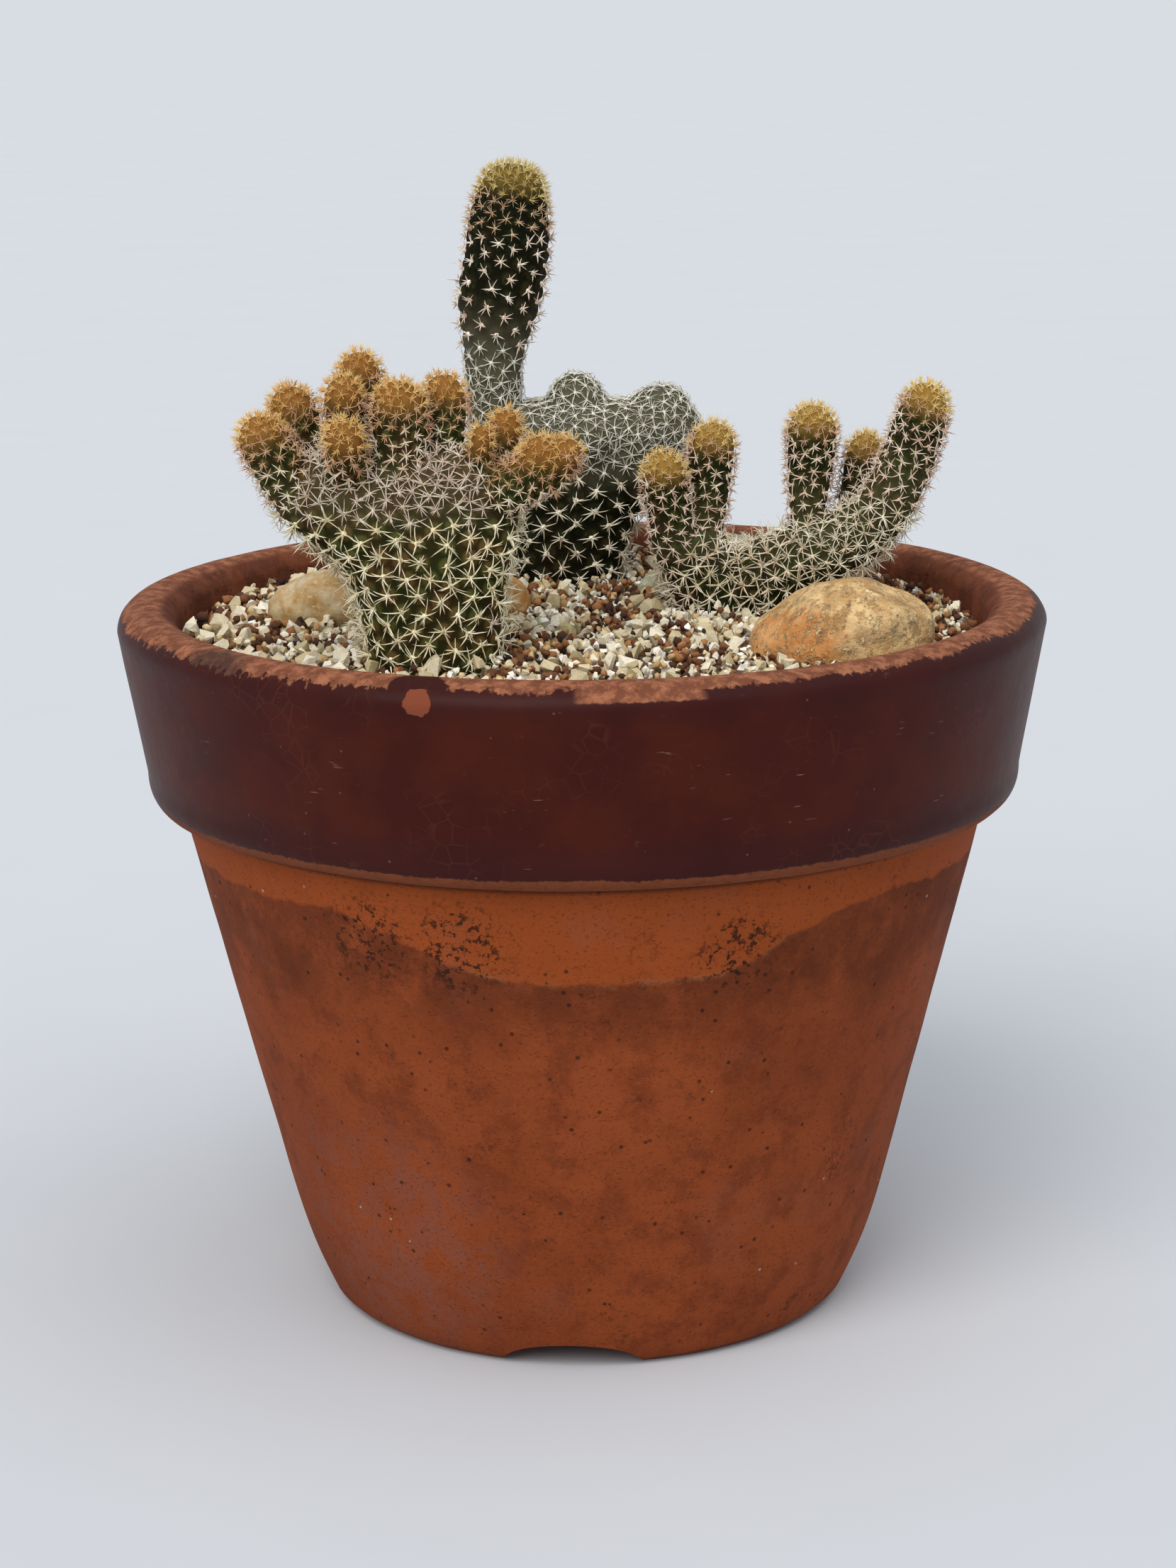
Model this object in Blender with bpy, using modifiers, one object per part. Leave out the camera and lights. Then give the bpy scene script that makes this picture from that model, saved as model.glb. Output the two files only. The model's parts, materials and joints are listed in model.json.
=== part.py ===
"""Three finger cacti in a small round clay pot with a glazed rim.

Metres, +Z up. The origin is under the pot's centre, on the surface that the pot stands on.
The front of the pot faces -Y.
"""

import math

import bmesh
import bpy
from mathutils import Matrix, Vector, noise

MM = 0.001

# ---- driving dimensions: the pot ----
POT_HEIGHT = 97.1 * MM
RIM_RADIUS = 62.5 * MM
LIP_THICKNESS = 7.9 * MM
LIP_ROUNDING = 3.1 * MM  # height of the rounded lip
BAND_HEIGHT = 26.8 * MM  # from the lip's crest down to the step under the band
BAND_TAPER = 3.3 * MM  # how much the band narrows on its way down
BAND_ROUNDING = 4.6 * MM  # height of the rounding that turns under the band
BAND_OVERHANG = 7.73 * MM  # from the rim's edge in to the wall under the step
WALL = 5.0 * MM
BODY_FLARE = 0.248  # radius gained for each unit of height
FOOT_TUCK = 1.9 * MM
FOOT_TUCK_HEIGHT = 15.5 * MM
FOOT_RING_WIDTH = 7.0 * MM
FOOT_CHAMFER = 0.6 * MM
FOOT_RECESS = 3.7 * MM
FLOOR_THICKNESS = 5.0 * MM
FLOOR_FILLET = 4.0 * MM
DRAIN_RADIUS = 10.0 * MM
NOTCH_WIDTH = 18.2 * MM
NOTCH_HEIGHT = 3.3 * MM
NOTCH_COUNT = 3
NOTCH_SIDES = 26
FIRST_NOTCH_AZIMUTH = math.radians(266.1)
POT_STEPS = 44

# ---- driving dimensions: what fills the pot ----
CLEARANCE = 0.3 * MM  # between any two pieces that touch
NET_SIDE = 28.0 * MM
NET_THICKNESS = 0.8 * MM
NET_HOLES = 6  # holes along each side
HEAD_SPACE = 5.7 * MM  # from the lip's crest down to the grit at the wall
GRIT_DEPTH = 11.0 * MM
GRIT_MOUND = 0.8 * MM  # rise of the grit at the middle of the pot
GRIT_SLOPE = 0.02  # rise of the grit towards the back
ROOT_DEPTH = 22.0 * MM

# ---- driving dimensions: the plants ----
PLANT_SCALE = 1.0  # 1 is the size that the lists below are written for
FINGER_SIDES = 12
TRUNK_SIDES = 16

# Where each plant stands, as shares of the grit's radius.
LEFT_PLANT = (-0.36, -0.41)
MIDDLE_PLANT = (-0.05, 0.62)
RIGHT_PLANT = (0.40, 0.15)

# ---- colours: (red, green, blue), roughness ----
FINISHES = {
    "clay": ((0.36, 0.13, 0.06), 0.75),
    "net": ((0.03, 0.03, 0.03), 0.5),
    "mix": ((0.07, 0.045, 0.03), 0.95),
    "grit": ((0.50, 0.42, 0.33), 0.9),
    "tan": ((0.55, 0.34, 0.16), 0.6),
    "cream": ((0.66, 0.55, 0.38), 0.4),
    "rust": ((0.50, 0.24, 0.08), 0.45),
    "green": ((0.42, 0.45, 0.37), 0.4),
    "yellow": ((0.58, 0.52, 0.30), 0.4),
    "cactus": ((0.055, 0.07, 0.03), 0.6),
    "tip": ((0.55, 0.30, 0.10), 0.7),
    "dark_cactus": ((0.03, 0.035, 0.02), 0.6),
}


# ---- scene, materials and small helpers ----


def clear_scene():
    for obj in list(bpy.data.objects):
        bpy.data.objects.remove(obj, do_unlink=True)


def new_collection(name):
    collection = bpy.data.collections.new(name)
    bpy.context.scene.collection.children.link(collection)
    return collection


def finish_material(key):
    if key in bpy.data.materials:
        return bpy.data.materials[key]
    colour, roughness = FINISHES[key]
    material = bpy.data.materials.new(key)
    material.use_nodes = True
    shader = material.node_tree.nodes["Principled BSDF"]
    shader.inputs["Base Color"].default_value = (*colour, 1.0)
    shader.inputs["Roughness"].default_value = roughness
    shader.inputs["Metallic"].default_value = 0.0
    return material


def add_object(name, mesh, collection, finish=None):
    obj = bpy.data.objects.new(name, mesh)
    collection.objects.link(obj)
    if finish:
        mesh.materials.append(finish_material(finish))
        mesh.shade_smooth()
        mesh.set_sharp_from_angle(angle=math.radians(40))
    return obj


def move_to(obj, collection):
    for holder in list(obj.users_collection):
        holder.objects.unlink(obj)
    collection.objects.link(obj)


def as_cutter(obj):
    obj.hide_render = True
    obj.display_type = "WIRE"
    return obj


def boolean(obj, other, operation="DIFFERENCE"):
    modifier = obj.modifiers.new(f"{operation.lower()} {other.name}", "BOOLEAN")
    modifier.operation = operation
    modifier.object = other
    modifier.solver = "EXACT"


def plain_mesh(obj, name):
    """The object's evaluated shape as a mesh of its own."""
    graph = bpy.context.evaluated_depsgraph_get()
    mesh = bpy.data.meshes.new_from_object(obj.evaluated_get(graph))
    mesh.name = name
    return mesh


def turned(name, profile, steps, collection, finish=None):
    """A lathe shape: the profile, a list of (radius, height), turned about Z by a Screw modifier."""
    mesh = bpy.data.meshes.new(name)
    closed = profile[0][0] > 0
    edges = [(i, i + 1) for i in range(len(profile) - 1)]
    if closed:
        edges.append((len(profile) - 1, 0))
    mesh.from_pydata([(radius, 0, height) for radius, height in profile], edges, [])
    obj = add_object(name, mesh, collection, finish)
    screw = obj.modifiers.new("turn", "SCREW")
    screw.steps = steps
    screw.render_steps = steps
    screw.use_merge_vertices = True
    screw.merge_threshold = 0.01 * MM
    return obj


def arc(centre, radii, start, end, count, power=2.0):
    """Points on part of a (super)ellipse round a centre, from one angle to another, in degrees."""
    points = []
    for i in range(count + 1):
        angle = math.radians(start + (end - start) * i / count)
        c, s = math.cos(angle), math.sin(angle)
        points.append(
            (
                centre[0] + radii[0] * math.copysign(abs(c) ** (2 / power), c),
                centre[1] + radii[1] * math.copysign(abs(s) ** (2 / power), s),
            )
        )
    return points


# ---- the pot ----

STEP_HEIGHT = POT_HEIGHT - BAND_HEIGHT
BODY_TOP_RADIUS = RIM_RADIUS - BAND_OVERHANG
FLOOR_TOP = FOOT_RECESS + FLOOR_THICKNESS
LIP_SHOULDER = POT_HEIGHT - LIP_ROUNDING


def body_radius(z):
    """Outer radius of the wall below the band."""
    tuck = FOOT_TUCK * (max(0.0, FOOT_TUCK_HEIGHT - z) / FOOT_TUCK_HEIGHT) ** 2
    return BODY_TOP_RADIUS - BODY_FLARE * (STEP_HEIGHT - z) - tuck


def inner_radius(z):
    """Inner radius of the wall: parallel to the body, then easing out to the lip."""
    wall_side = body_radius(z) - WALL
    if z <= STEP_HEIGHT:
        return wall_side
    lip_side = RIM_RADIUS - LIP_THICKNESS
    share = min(1.0, (z - STEP_HEIGHT) / (LIP_SHOULDER - STEP_HEIGHT))
    low = body_radius(STEP_HEIGHT) - WALL
    return low + (lip_side - low) * share


def pot_profile():
    """The wall's section as a closed loop: outside, foot, drain hole, floor, inside, lip."""
    lip_middle = RIM_RADIUS - LIP_THICKNESS / 2
    band_low = RIM_RADIUS - BAND_TAPER
    overhang = band_low - BODY_TOP_RADIUS
    foot = body_radius(0)
    ring_inner = foot - FOOT_RING_WIDTH
    corner = (inner_radius(FLOOR_TOP + FLOOR_FILLET) - FLOOR_FILLET, FLOOR_TOP + FLOOR_FILLET)
    profile = arc((lip_middle, LIP_SHOULDER), (LIP_THICKNESS / 2, LIP_ROUNDING), 90, 0, 4)
    rounding = (BODY_TOP_RADIUS, STEP_HEIGHT + BAND_ROUNDING)
    profile += arc(rounding, (overhang, BAND_ROUNDING), 0, -90, 5, power=2.7)
    profile += [(body_radius(z), z) for z in (FOOT_TUCK_HEIGHT, FOOT_TUCK_HEIGHT / 2)]
    profile += [(body_radius(FOOT_CHAMFER), FOOT_CHAMFER), (foot - FOOT_CHAMFER, 0)]
    profile += [(ring_inner, 0), (ring_inner - FOOT_CHAMFER, FOOT_RECESS)]
    profile += [(DRAIN_RADIUS, FOOT_RECESS), (DRAIN_RADIUS, FLOOR_TOP)]
    profile += arc(corner, (FLOOR_FILLET, FLOOR_FILLET), -90, 0, 3)
    profile += [(inner_radius(STEP_HEIGHT), STEP_HEIGHT)]
    profile += arc((lip_middle, LIP_SHOULDER), (LIP_THICKNESS / 2, LIP_ROUNDING), 180, 90, 4)[:-1]
    return profile


def notch_cutter(azimuth, number, cutters):
    """An arch-topped tunnel through the foot ring, lying along the radius."""
    foot = body_radius(0)
    length = FOOT_RING_WIDTH * 2
    bpy.ops.mesh.primitive_cylinder_add(vertices=NOTCH_SIDES, radius=NOTCH_WIDTH / 2, depth=length)
    cutter = bpy.context.object
    cutter.name = f"notch_cutter_{number}"
    move_to(cutter, cutters)
    squash = Matrix.Diagonal((1.0, NOTCH_HEIGHT / (NOTCH_WIDTH / 2), 1.0, 1.0))
    lie_down = Matrix.Rotation(math.radians(90), 4, "X")
    # Half a side's turn keeps the tunnel's corners off the plane of the foot.
    half_side = Matrix.Rotation(math.pi / NOTCH_SIDES, 4, "Z")
    cutter.data.transform(lie_down @ squash @ half_side)
    distance = foot - FOOT_RING_WIDTH / 2
    cutter.location = (distance * math.cos(azimuth), distance * math.sin(azimuth), 0)
    cutter.rotation_euler = (0, 0, azimuth + math.radians(90))
    return as_cutter(cutter)


def make_pot(parts, cutters):
    pot = turned("pot", pot_profile(), POT_STEPS, parts, "clay")
    for number in range(NOTCH_COUNT):
        azimuth = FIRST_NOTCH_AZIMUTH + number * math.tau / NOTCH_COUNT
        boolean(pot, notch_cutter(azimuth, number, cutters))


# ---- drain net, potting mix and grit ----

NET_BOTTOM = FLOOR_TOP + CLEARANCE
GRIT_EDGE_HEIGHT = POT_HEIGHT - HEAD_SPACE
MIX_TOP = GRIT_EDGE_HEIGHT - GRIT_DEPTH
GRIT_RADIUS = inner_radius(GRIT_EDGE_HEIGHT - GRIT_SLOPE * RIM_RADIUS) - CLEARANCE


def grit_height(x, y):
    """Height of the grit's surface: a low mound that rises a little towards the back."""
    share = min(1.0, math.hypot(x, y) / GRIT_RADIUS)
    return GRIT_EDGE_HEIGHT + GRIT_MOUND * (1 - share**2) + GRIT_SLOPE * y


def make_drain_net(parts):
    """A square of plastic net: a grid of faces with every second one taken out, then given a thickness."""
    cells = 2 * NET_HOLES + 1
    mesh = bpy.data.meshes.new("drain_net")
    grid = bmesh.new()
    bmesh.ops.create_grid(grid, x_segments=cells, y_segments=cells, size=NET_SIDE / 2)
    pitch = NET_SIDE / cells
    holes = []
    for face in grid.faces:
        middle = face.calc_center_median()
        column = int((middle.x + NET_SIDE / 2) / pitch)
        row = int((middle.y + NET_SIDE / 2) / pitch)
        if column % 2 and row % 2:
            holes.append(face)
    bmesh.ops.delete(grid, geom=holes, context="FACES_ONLY")
    grid.to_mesh(mesh)
    grid.free()
    net = add_object("drain_net", mesh, parts, "net")
    net.location = (0, 0, NET_BOTTOM)
    shell = net.modifiers.new("thickness", "SOLIDIFY")
    shell.thickness = NET_THICKNESS
    shell.offset = 1.0


def make_potting_mix(parts, cutters):
    top = MIX_TOP - CLEARANCE
    bottom = FLOOR_TOP + CLEARANCE
    fillet = bottom + FLOOR_FILLET
    profile = [(0, top), (inner_radius(top) - CLEARANCE, top)]
    profile += [(inner_radius(z) - CLEARANCE, z) for z in (STEP_HEIGHT, fillet)]
    profile += [(inner_radius(fillet) - CLEARANCE - FLOOR_FILLET, bottom), (0, bottom)]
    mix = turned("potting_mix", profile, POT_STEPS, parts, "mix")
    bpy.ops.mesh.primitive_cube_add(size=1.0)
    pocket = bpy.context.object
    pocket.name = "net_pocket"
    move_to(pocket, cutters)
    side = NET_SIDE + 2 * CLEARANCE
    depth = 2 * (NET_THICKNESS + 2 * CLEARANCE)
    pocket.data.transform(Matrix.Diagonal((side, side, depth, 1.0)))
    pocket.location = (0, 0, bottom)
    boolean(mix, as_cutter(pocket))
    return mix


def make_top_grit(parts):
    low = MIX_TOP
    rings = [GRIT_RADIUS * share for share in (0.25, 0.5, 0.75)]
    profile = [(0, GRIT_EDGE_HEIGHT)] + [(radius, GRIT_EDGE_HEIGHT) for radius in rings]
    profile += [(GRIT_RADIUS, GRIT_EDGE_HEIGHT), (inner_radius(low) - CLEARANCE, low), (0, low)]
    blank = turned("grit_blank", profile, POT_STEPS, parts)
    mesh = plain_mesh(blank, "top_grit")
    bpy.data.objects.remove(blank, do_unlink=True)
    for vertex in mesh.vertices:
        if vertex.co.z > (low + GRIT_EDGE_HEIGHT) / 2:
            vertex.co.z = grit_height(vertex.co.x, vertex.co.y)
    return add_object("top_grit", mesh, parts, "grit")


# ---- lofted skins for the trunks ----


def ring_points(centre, tangent, half_width, half_depth, sides, power):
    """Points of one rounded ring; its width lies as near to X as the tangent allows."""
    across = Vector((1, 0, 0))
    width = (across - tangent * across.dot(tangent)).normalized()
    depth = tangent.cross(width)
    points = []
    for i in range(sides):
        c, s = math.cos(math.tau * i / sides), math.sin(math.tau * i / sides)
        u = half_width * math.copysign(abs(c) ** (2 / power), c)
        v = half_depth * math.copysign(abs(s) ** (2 / power), s)
        points.append(centre + width * u + depth * v)
    return points


def domed(rings, domes, grow):
    """Adds two smaller rings and a pole at each end of the list of (centre, half_width, half_depth)."""
    full = [(c, w + grow, d + grow) for c, w, d in rings]
    ends = []
    for (centre, w, d), inner, height in (
        (full[0], rings[1][0], domes[0] + grow),
        (full[-1], rings[-2][0], domes[1] + grow),
    ):
        out = (centre - inner).normalized()
        caps = []
        for angle in (math.radians(35), math.radians(65)):
            rise, shrink = height * math.sin(angle), math.cos(angle)
            caps.append((centre + out * rise, w * shrink, d * shrink))
        ends.append((caps, centre + out * height))
    (start_caps, start_pole), (end_caps, end_pole) = ends
    return start_caps[::-1] + full + end_caps, start_pole, end_pole


def loft(name, rings, collection, finish=None, domes=(1 * MM, 1 * MM), grow=0.0, power=2.0, level=False):
    """One closed skin through a list of rings, with a rounded cap at each end.

    A ring stands square to the path, or lies level, as in a fan that spreads wider than it bends.
    """
    rings, start_pole, end_pole = domed(rings, domes, grow)
    sides = TRUNK_SIDES
    points = []
    for i, (centre, half_width, half_depth) in enumerate(rings):
        before = rings[max(i - 1, 0)][0]
        after = rings[min(i + 1, len(rings) - 1)][0]
        tangent = Vector((0, 0, 1)) if level else (after - before).normalized()
        points += ring_points(centre, tangent, half_width, half_depth, sides, power)
    faces = []
    for i in range(len(rings) - 1):
        for j in range(sides):
            k = (j + 1) % sides
            faces.append((i * sides + j, i * sides + k, (i + 1) * sides + k, (i + 1) * sides + j))
    low, high = len(points), len(points) + 1
    last = (len(rings) - 1) * sides
    for j in range(sides):
        k = (j + 1) % sides
        faces.append((low, k, j))
        faces.append((high, last + j, last + k))
    mesh = bpy.data.meshes.new(name)
    mesh.from_pydata(points + [start_pole, end_pole], [], faces)
    shape = bmesh.new()
    shape.from_mesh(mesh)
    bmesh.ops.recalc_face_normals(shape, faces=shape.faces)
    shape.to_mesh(mesh)
    shape.free()
    return add_object(name, mesh, collection, finish)


# ---- turned clubs for the fingers ----


def club_profile(length, radius, neck, grow=0.0):
    """A finger's section: a rounded tip, its fullest part under it, and a narrower neck at the base."""
    tip = min(length * 0.5, radius * 1.25)
    profile = [
        (max(r, 0.0), z)
        for r, z in arc((0, length - tip), (radius + grow, tip + grow), 90, 0, 4)
    ]
    profile[0] = (0.0, profile[0][1])
    for share in (0.6, 0.3, 0.0):
        ease = share * share * (3 - 2 * share)
        profile.append((radius * (neck + (1 - neck) * ease) + grow, (length - tip) * share))
    profile.append((0.0, 0.0))
    return profile


def club(name, base, tip, radius, collection, finish=None, neck=0.75, grow=0.0):
    """A finger from a point inside its trunk to its tip."""
    axis = tip - base
    obj = turned(name, club_profile(axis.length, radius, neck, grow), FINGER_SIDES, collection, finish)
    obj.location = base
    obj.rotation_mode = "QUATERNION"
    obj.rotation_quaternion = axis.to_track_quat("Z", "Y")
    return obj


# ---- stones ----


def stone(name, place, half_sizes, turn, seed, collection, finish=None, detail=2, rough=0.10, grow=0.0):
    """A worn lump: an icosphere pushed in and out by smooth noise, then stretched and turned."""
    mesh = bpy.data.meshes.new(name)
    shape = bmesh.new()
    bmesh.ops.create_icosphere(shape, subdivisions=detail, radius=1.0)
    for vertex in shape.verts:
        direction = vertex.co.normalized()
        bump = 1 + rough * noise.noise(direction * 1.3 + Vector((seed, 2 * seed, 0)))
        vertex.co = Vector(direction[i] * (half_sizes[i] * bump + grow) for i in range(3))
    shape.to_mesh(mesh)
    shape.free()
    obj = add_object(name, mesh, collection, finish)
    obj.location = place
    obj.rotation_euler = [math.radians(angle) for angle in turn]
    return obj


# ---- the plants ----
# Every list below is in millimetres at PLANT_SCALE 1, from the plant's foot: the point where its middle
# leaves the grit. A trunk's rows are (x, y, z, half width, half depth).

LEFT_TRUNK = [
    (0.4, 0, -12, 6.0, 5.6),
    (0.1, 0, -4, 7.8, 7.2),
    (0.2, 0, 1, 8.4, 7.6),
    (0.0, 0, 6, 8.8, 7.8),
    (-0.4, 0, 11, 9.7, 7.9),
    (-1.1, 0, 14.8, 11.3, 7.7),
    (-2.8, 0, 17.8, 13.8, 7.4),
    (-4.3, 0, 20.5, 15.8, 7.0),
    (-4.5, 0, 24, 16.8, 6.4),
    (-4.2, 0, 26.4, 16.2, 5.4),
]
MIDDLE_TRUNK = [
    (0, 0, -12, 6.0, 5.8),
    (0, 0, -4, 7.6, 7.4),
    (0.1, 0, 1, 7.8, 7.8),
    (0.5, 0, 5.5, 8.4, 8.0),
    (0.7, 0, 11, 10.4, 8.0),
    (1.9, 0, 15, 13.4, 8.0),
    (3.2, 0, 19, 15.6, 7.8),
    (3.5, -0.5, 22, 16.6, 7.4),
    (3.4, -0.5, 24.2, 16.4, 6.4),
]
RIGHT_STEM = [
    (0, 0, -12, 4.0, 4.0),
    (-0.8, 0, -3, 5.4, 5.0),
    (-2.4, 0, 2.0, 5.7, 5.0),
    (-4.8, 0, 6, 5.2, 4.8),
    (-6.4, 0, 9.4, 4.8, 4.5),
]
RIGHT_ARM = [
    (-2.6, -0.2, 2.6, 3.6, 3.4),
    (2.4, -0.3, 4.4, 5.3, 5.0),
    (7.3, -0.4, 6.6, 5.4, 5.1),
    (11.3, -0.6, 8.5, 4.9, 4.8),
    (15.3, -0.9, 10.3, 4.2, 4.2),
    (18.0, -1.2, 12.2, 3.8, 3.8),
]
# A middle lobe's row is (base, tip, radius): fused to the crest, so it's part of the trunk.
MIDDLE_LOBES = {
    "left_lobe": ((2.1, -1.0, 16), (2.3, -1.0, 30.3), 4.3),
    "right_lobe": ((12.0, -1.0, 14), (15.2, -1.0, 28.4), 5.6),
    "front_lobe": ((3.6, -3.5, 16), (4.6, -8.2, 24.2), 3.0),
}
# The tall finger's rows are like a trunk's.
TALL_FINGER = [
    (-9.2, -1.5, 24, 4.0, 4.0),
    (-9.6, -1.5, 31, 3.7, 3.7),
    (-9.3, -1.5, 35, 4.3, 4.2),
    (-8.9, -1.5, 39, 5.5, 5.2),
    (-8.2, -1.5, 43, 5.8, 5.6),
    (-7.2, -1.5, 48, 5.9, 5.7),
    (-6.9, -1.5, 53, 5.5, 5.4),
    (-6.4, -1.5, 57, 4.3, 4.3),
]
# A finger's row is (base, tip, radius, neck share). A second tip makes a forked finger.
LEFT_FINGERS = {
    "left_finger_1": ((-16.8, -1.6, 22), (-22.5, -3.2, 33.0), 3.2, 0.9),
    "left_finger_2": ((-13.8, 3.2, 20), (-18.6, 4.4, 36.0), 3.1, 0.85),
    "left_finger_3": ((-8.8, 3.0, 20), (-9.0, 4.4, 40.4), 2.8, 0.8),
    "left_finger_4": ((-11.4, -0.6, 20), (-10.7, -1.6, 38.0), 2.4, 0.8),
    "left_bud_5": ((-10.0, -4.8, 26.4), (-10.6, -8.9, 33.0), 2.4, 0.9),
    "left_finger_6": ((-3.6, -1.5, 18), (-3.7, -3.0, 37.6), 3.4, 0.85),
    "left_finger_7": ((1.6, 0.5, 18), (2.0, 1.4, 37.8), 2.8, 0.8),
    "left_bud_8": ((6.0, -1.5, 22), (6.9, -4.0, 31.8), 1.2, 0.9),
    "left_finger_9": ((7.4, 0.4, 21), (10.2, 0.8, 33.2), 2.0, 0.8),
}
FORKED_FINGER = {
    "stem": ((6.6, -1.7, 20.9), (15.6, -4.8, 27.6), 3.0, 0.9),
    "left_head": ((13.2, -4.0, 24.6), (14.8, -5.2, 30.5), 2.3, 0.9),
    "right_head": ((14.4, -4.0, 24.6), (18.6, -5.2, 29.9), 2.2, 0.9),
}
RIGHT_FINGERS = {
    "right_finger_1": ((-8.6, -1.2, 8), (-10.4, -2.4, 22.9), 2.9, 0.9),
    "right_finger_2": ((-5.2, 1.8, 7), (-2.9, 2.4, 26.3), 3.1, 0.8),
    "right_finger_3": ((9.4, 0.5, 10), (10.5, 0.5, 28.8), 3.4, 0.56),
    "right_finger_4": ((15.2, 2.4, 10), (18.4, 6.0, 24.0), 2.4, 0.8),
}
# The outermost finger bends upwards, so its rows are like a trunk's.
RIGHT_BENT_FINGER = [
    (17.2, -1.1, 11.0, 3.5, 3.4),
    (19.9, -1.5, 14.6, 3.6, 3.6),
    (21.9, -1.9, 18.6, 3.5, 3.5),
    (23.6, -2.4, 23.0, 3.5, 3.5),
    (24.8, -2.8, 27.0, 3.4, 3.3),
    (25.3, -3.0, 29.6, 2.9, 2.8),
]


def foot_of(plant):
    x, y = (share * GRIT_RADIUS for share in plant)
    return Vector((x, y, grit_height(x, y)))


def rows_to_rings(rows, foot):
    scale = PLANT_SCALE * MM
    return [(foot + Vector(row[:3]) * scale, row[3] * scale, row[4] * scale) for row in rows]


def with_root(rows):
    """The trunk's rows with a tapering root under them, buried in the mix."""
    x, y = rows[0][:2]
    return [(x, y, -ROOT_DEPTH / MM / PLANT_SCALE, 2.6, 2.6)] + rows


def club_from_row(name, row, foot, collection, finish=None, grow=0.0):
    scale = PLANT_SCALE * MM
    base, tip, radius = foot + Vector(row[0]) * scale, foot + Vector(row[1]) * scale, row[2] * scale
    neck = row[3] if len(row) > 3 else 0.9
    return club(name, base, tip, radius, collection, finish, neck, grow)


def make_trunk(name, trunks, lobes, foot, parts, cutters):
    """A trunk joined from its lofts and lobes, and the grown copies that cut what touches it."""
    grown = []
    trunk = None
    for number, (rows, power) in enumerate(trunks):
        rings = rows_to_rings(rows, foot)
        shape = {"domes": (1.5 * MM, 2.2 * MM * PLANT_SCALE), "power": power, "level": power > 2}
        room = loft(f"{name}_room_{number}", rings, cutters, grow=CLEARANCE, **shape)
        grown.append(as_cutter(room))
        if trunk is None:
            trunk = loft(name, rings, parts, "cactus", **shape)
        else:
            limb = loft(f"{name}_limb_{number}", rings, cutters, **shape)
            boolean(trunk, as_cutter(limb), "UNION")
    for key, row in lobes.items():
        boolean(trunk, as_cutter(club_from_row(f"{name}_{key}", row, foot, cutters)), "UNION")
        grown.append(as_cutter(club_from_row(f"{key}_room", row, foot, cutters, None, CLEARANCE)))
    return trunk, grown


def cut_by(obj, rooms):
    for room in rooms:
        boolean(obj, room)


def make_left_plant(parts, cutters):
    foot = foot_of(LEFT_PLANT)
    _, rooms = make_trunk("left_trunk", [(with_root(LEFT_TRUNK), 2.5)], {}, foot, parts, cutters)
    for name, row in LEFT_FINGERS.items():
        cut_by(club_from_row(name, row, foot, parts, "tip"), rooms)
    forked = club_from_row("left_finger_10", FORKED_FINGER["stem"], foot, parts, "tip")
    for key in ("left_head", "right_head"):
        head = as_cutter(club_from_row(f"forked_{key}", FORKED_FINGER[key], foot, cutters))
        boolean(forked, head, "UNION")
    cut_by(forked, rooms)
    return rooms


def make_middle_plant(parts, cutters):
    foot = foot_of(MIDDLE_PLANT)
    trunks = [(with_root(MIDDLE_TRUNK), 2.5)]
    _, rooms = make_trunk("middle_trunk", trunks, MIDDLE_LOBES, foot, parts, cutters)
    rings = rows_to_rings(TALL_FINGER, foot)
    domes = (1.5 * MM, 2.8 * MM * PLANT_SCALE)
    tall = loft("middle_tall_finger", rings, parts, "dark_cactus", domes)
    cut_by(tall, rooms)
    return rooms


def make_right_plant(parts, cutters):
    foot = foot_of(RIGHT_PLANT)
    trunks = [(with_root(RIGHT_STEM), 2.0), (RIGHT_ARM, 2.0)]
    _, rooms = make_trunk("right_trunk", trunks, {}, foot, parts, cutters)
    for name, row in RIGHT_FINGERS.items():
        cut_by(club_from_row(name, row, foot, parts, "tip"), rooms)
    rings = rows_to_rings(RIGHT_BENT_FINGER, foot)
    domes = (1.5 * MM, 2.4 * MM * PLANT_SCALE)
    cut_by(loft("right_finger_5", rings, parts, "tip", domes), rooms)
    return rooms


# ---- the stones on the grit ----
# (near, offset, half sizes, turn, seed, finish, detail, roughness). near is a share of the grit's radius,
# offset and half sizes are in millimetres, and the offset's z is measured from the grit's surface.

STONES = {
    "tan_cobble": ((0.64, -0.33), (0, 0, 1.8), (12.6, 10.0, 8.4), (0, -11, 0), 1.0, "tan", 3, 0.12),
    "quartz_stone_left": ((-0.66, 0.08), (0, 0, 2.8), (9.0, 5.4, 5.2), (0, -16, -8), 5.0, "cream", 2, 0.16),
    "rust_stone": ((-0.23, 0.13), (0, 0, 2.6), (6.0, 4.0, 4.4), (0, 24, 10), 7.0, "rust", 2, 0.14),
    "pale_stone_back": ((0.43, 0.77), (0, 0, 1.6), (6.4, 4.0, 4.4), (0, 6, -28), 9.0, "green", 2, 0.14),
    "green_stone_middle": (RIGHT_PLANT, (-11.1, 13.0, 0.8), (3.0, 2.4, 3.5), (0, 10, 30), 3.0, "green", 2, 0.2),
    "pebble_green": ((-0.10, -0.02), (0, 0, 0.6), (1.8, 1.5, 1.5), (0, 10, 20), 11.0, "green", 2, 0.15),
    "pebble_yellow": ((-0.042, -0.14), (0, 0, 0.8), (1.8, 1.6, 1.7), (0, 0, 50), 13.0, "yellow", 2, 0.15),
    "pebble_pale": ((0.024, 0.0), (0, 0, 0.6), (1.9, 1.5, 1.4), (0, -8, 0), 15.0, "cream", 2, 0.15),
    "pebble_orange": (MIDDLE_PLANT, (-3.4, -10.6, 0.7), (1.8, 1.6, 1.5), (0, 0, 0), 17.0, "rust", 2, 0.08),
}


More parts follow.
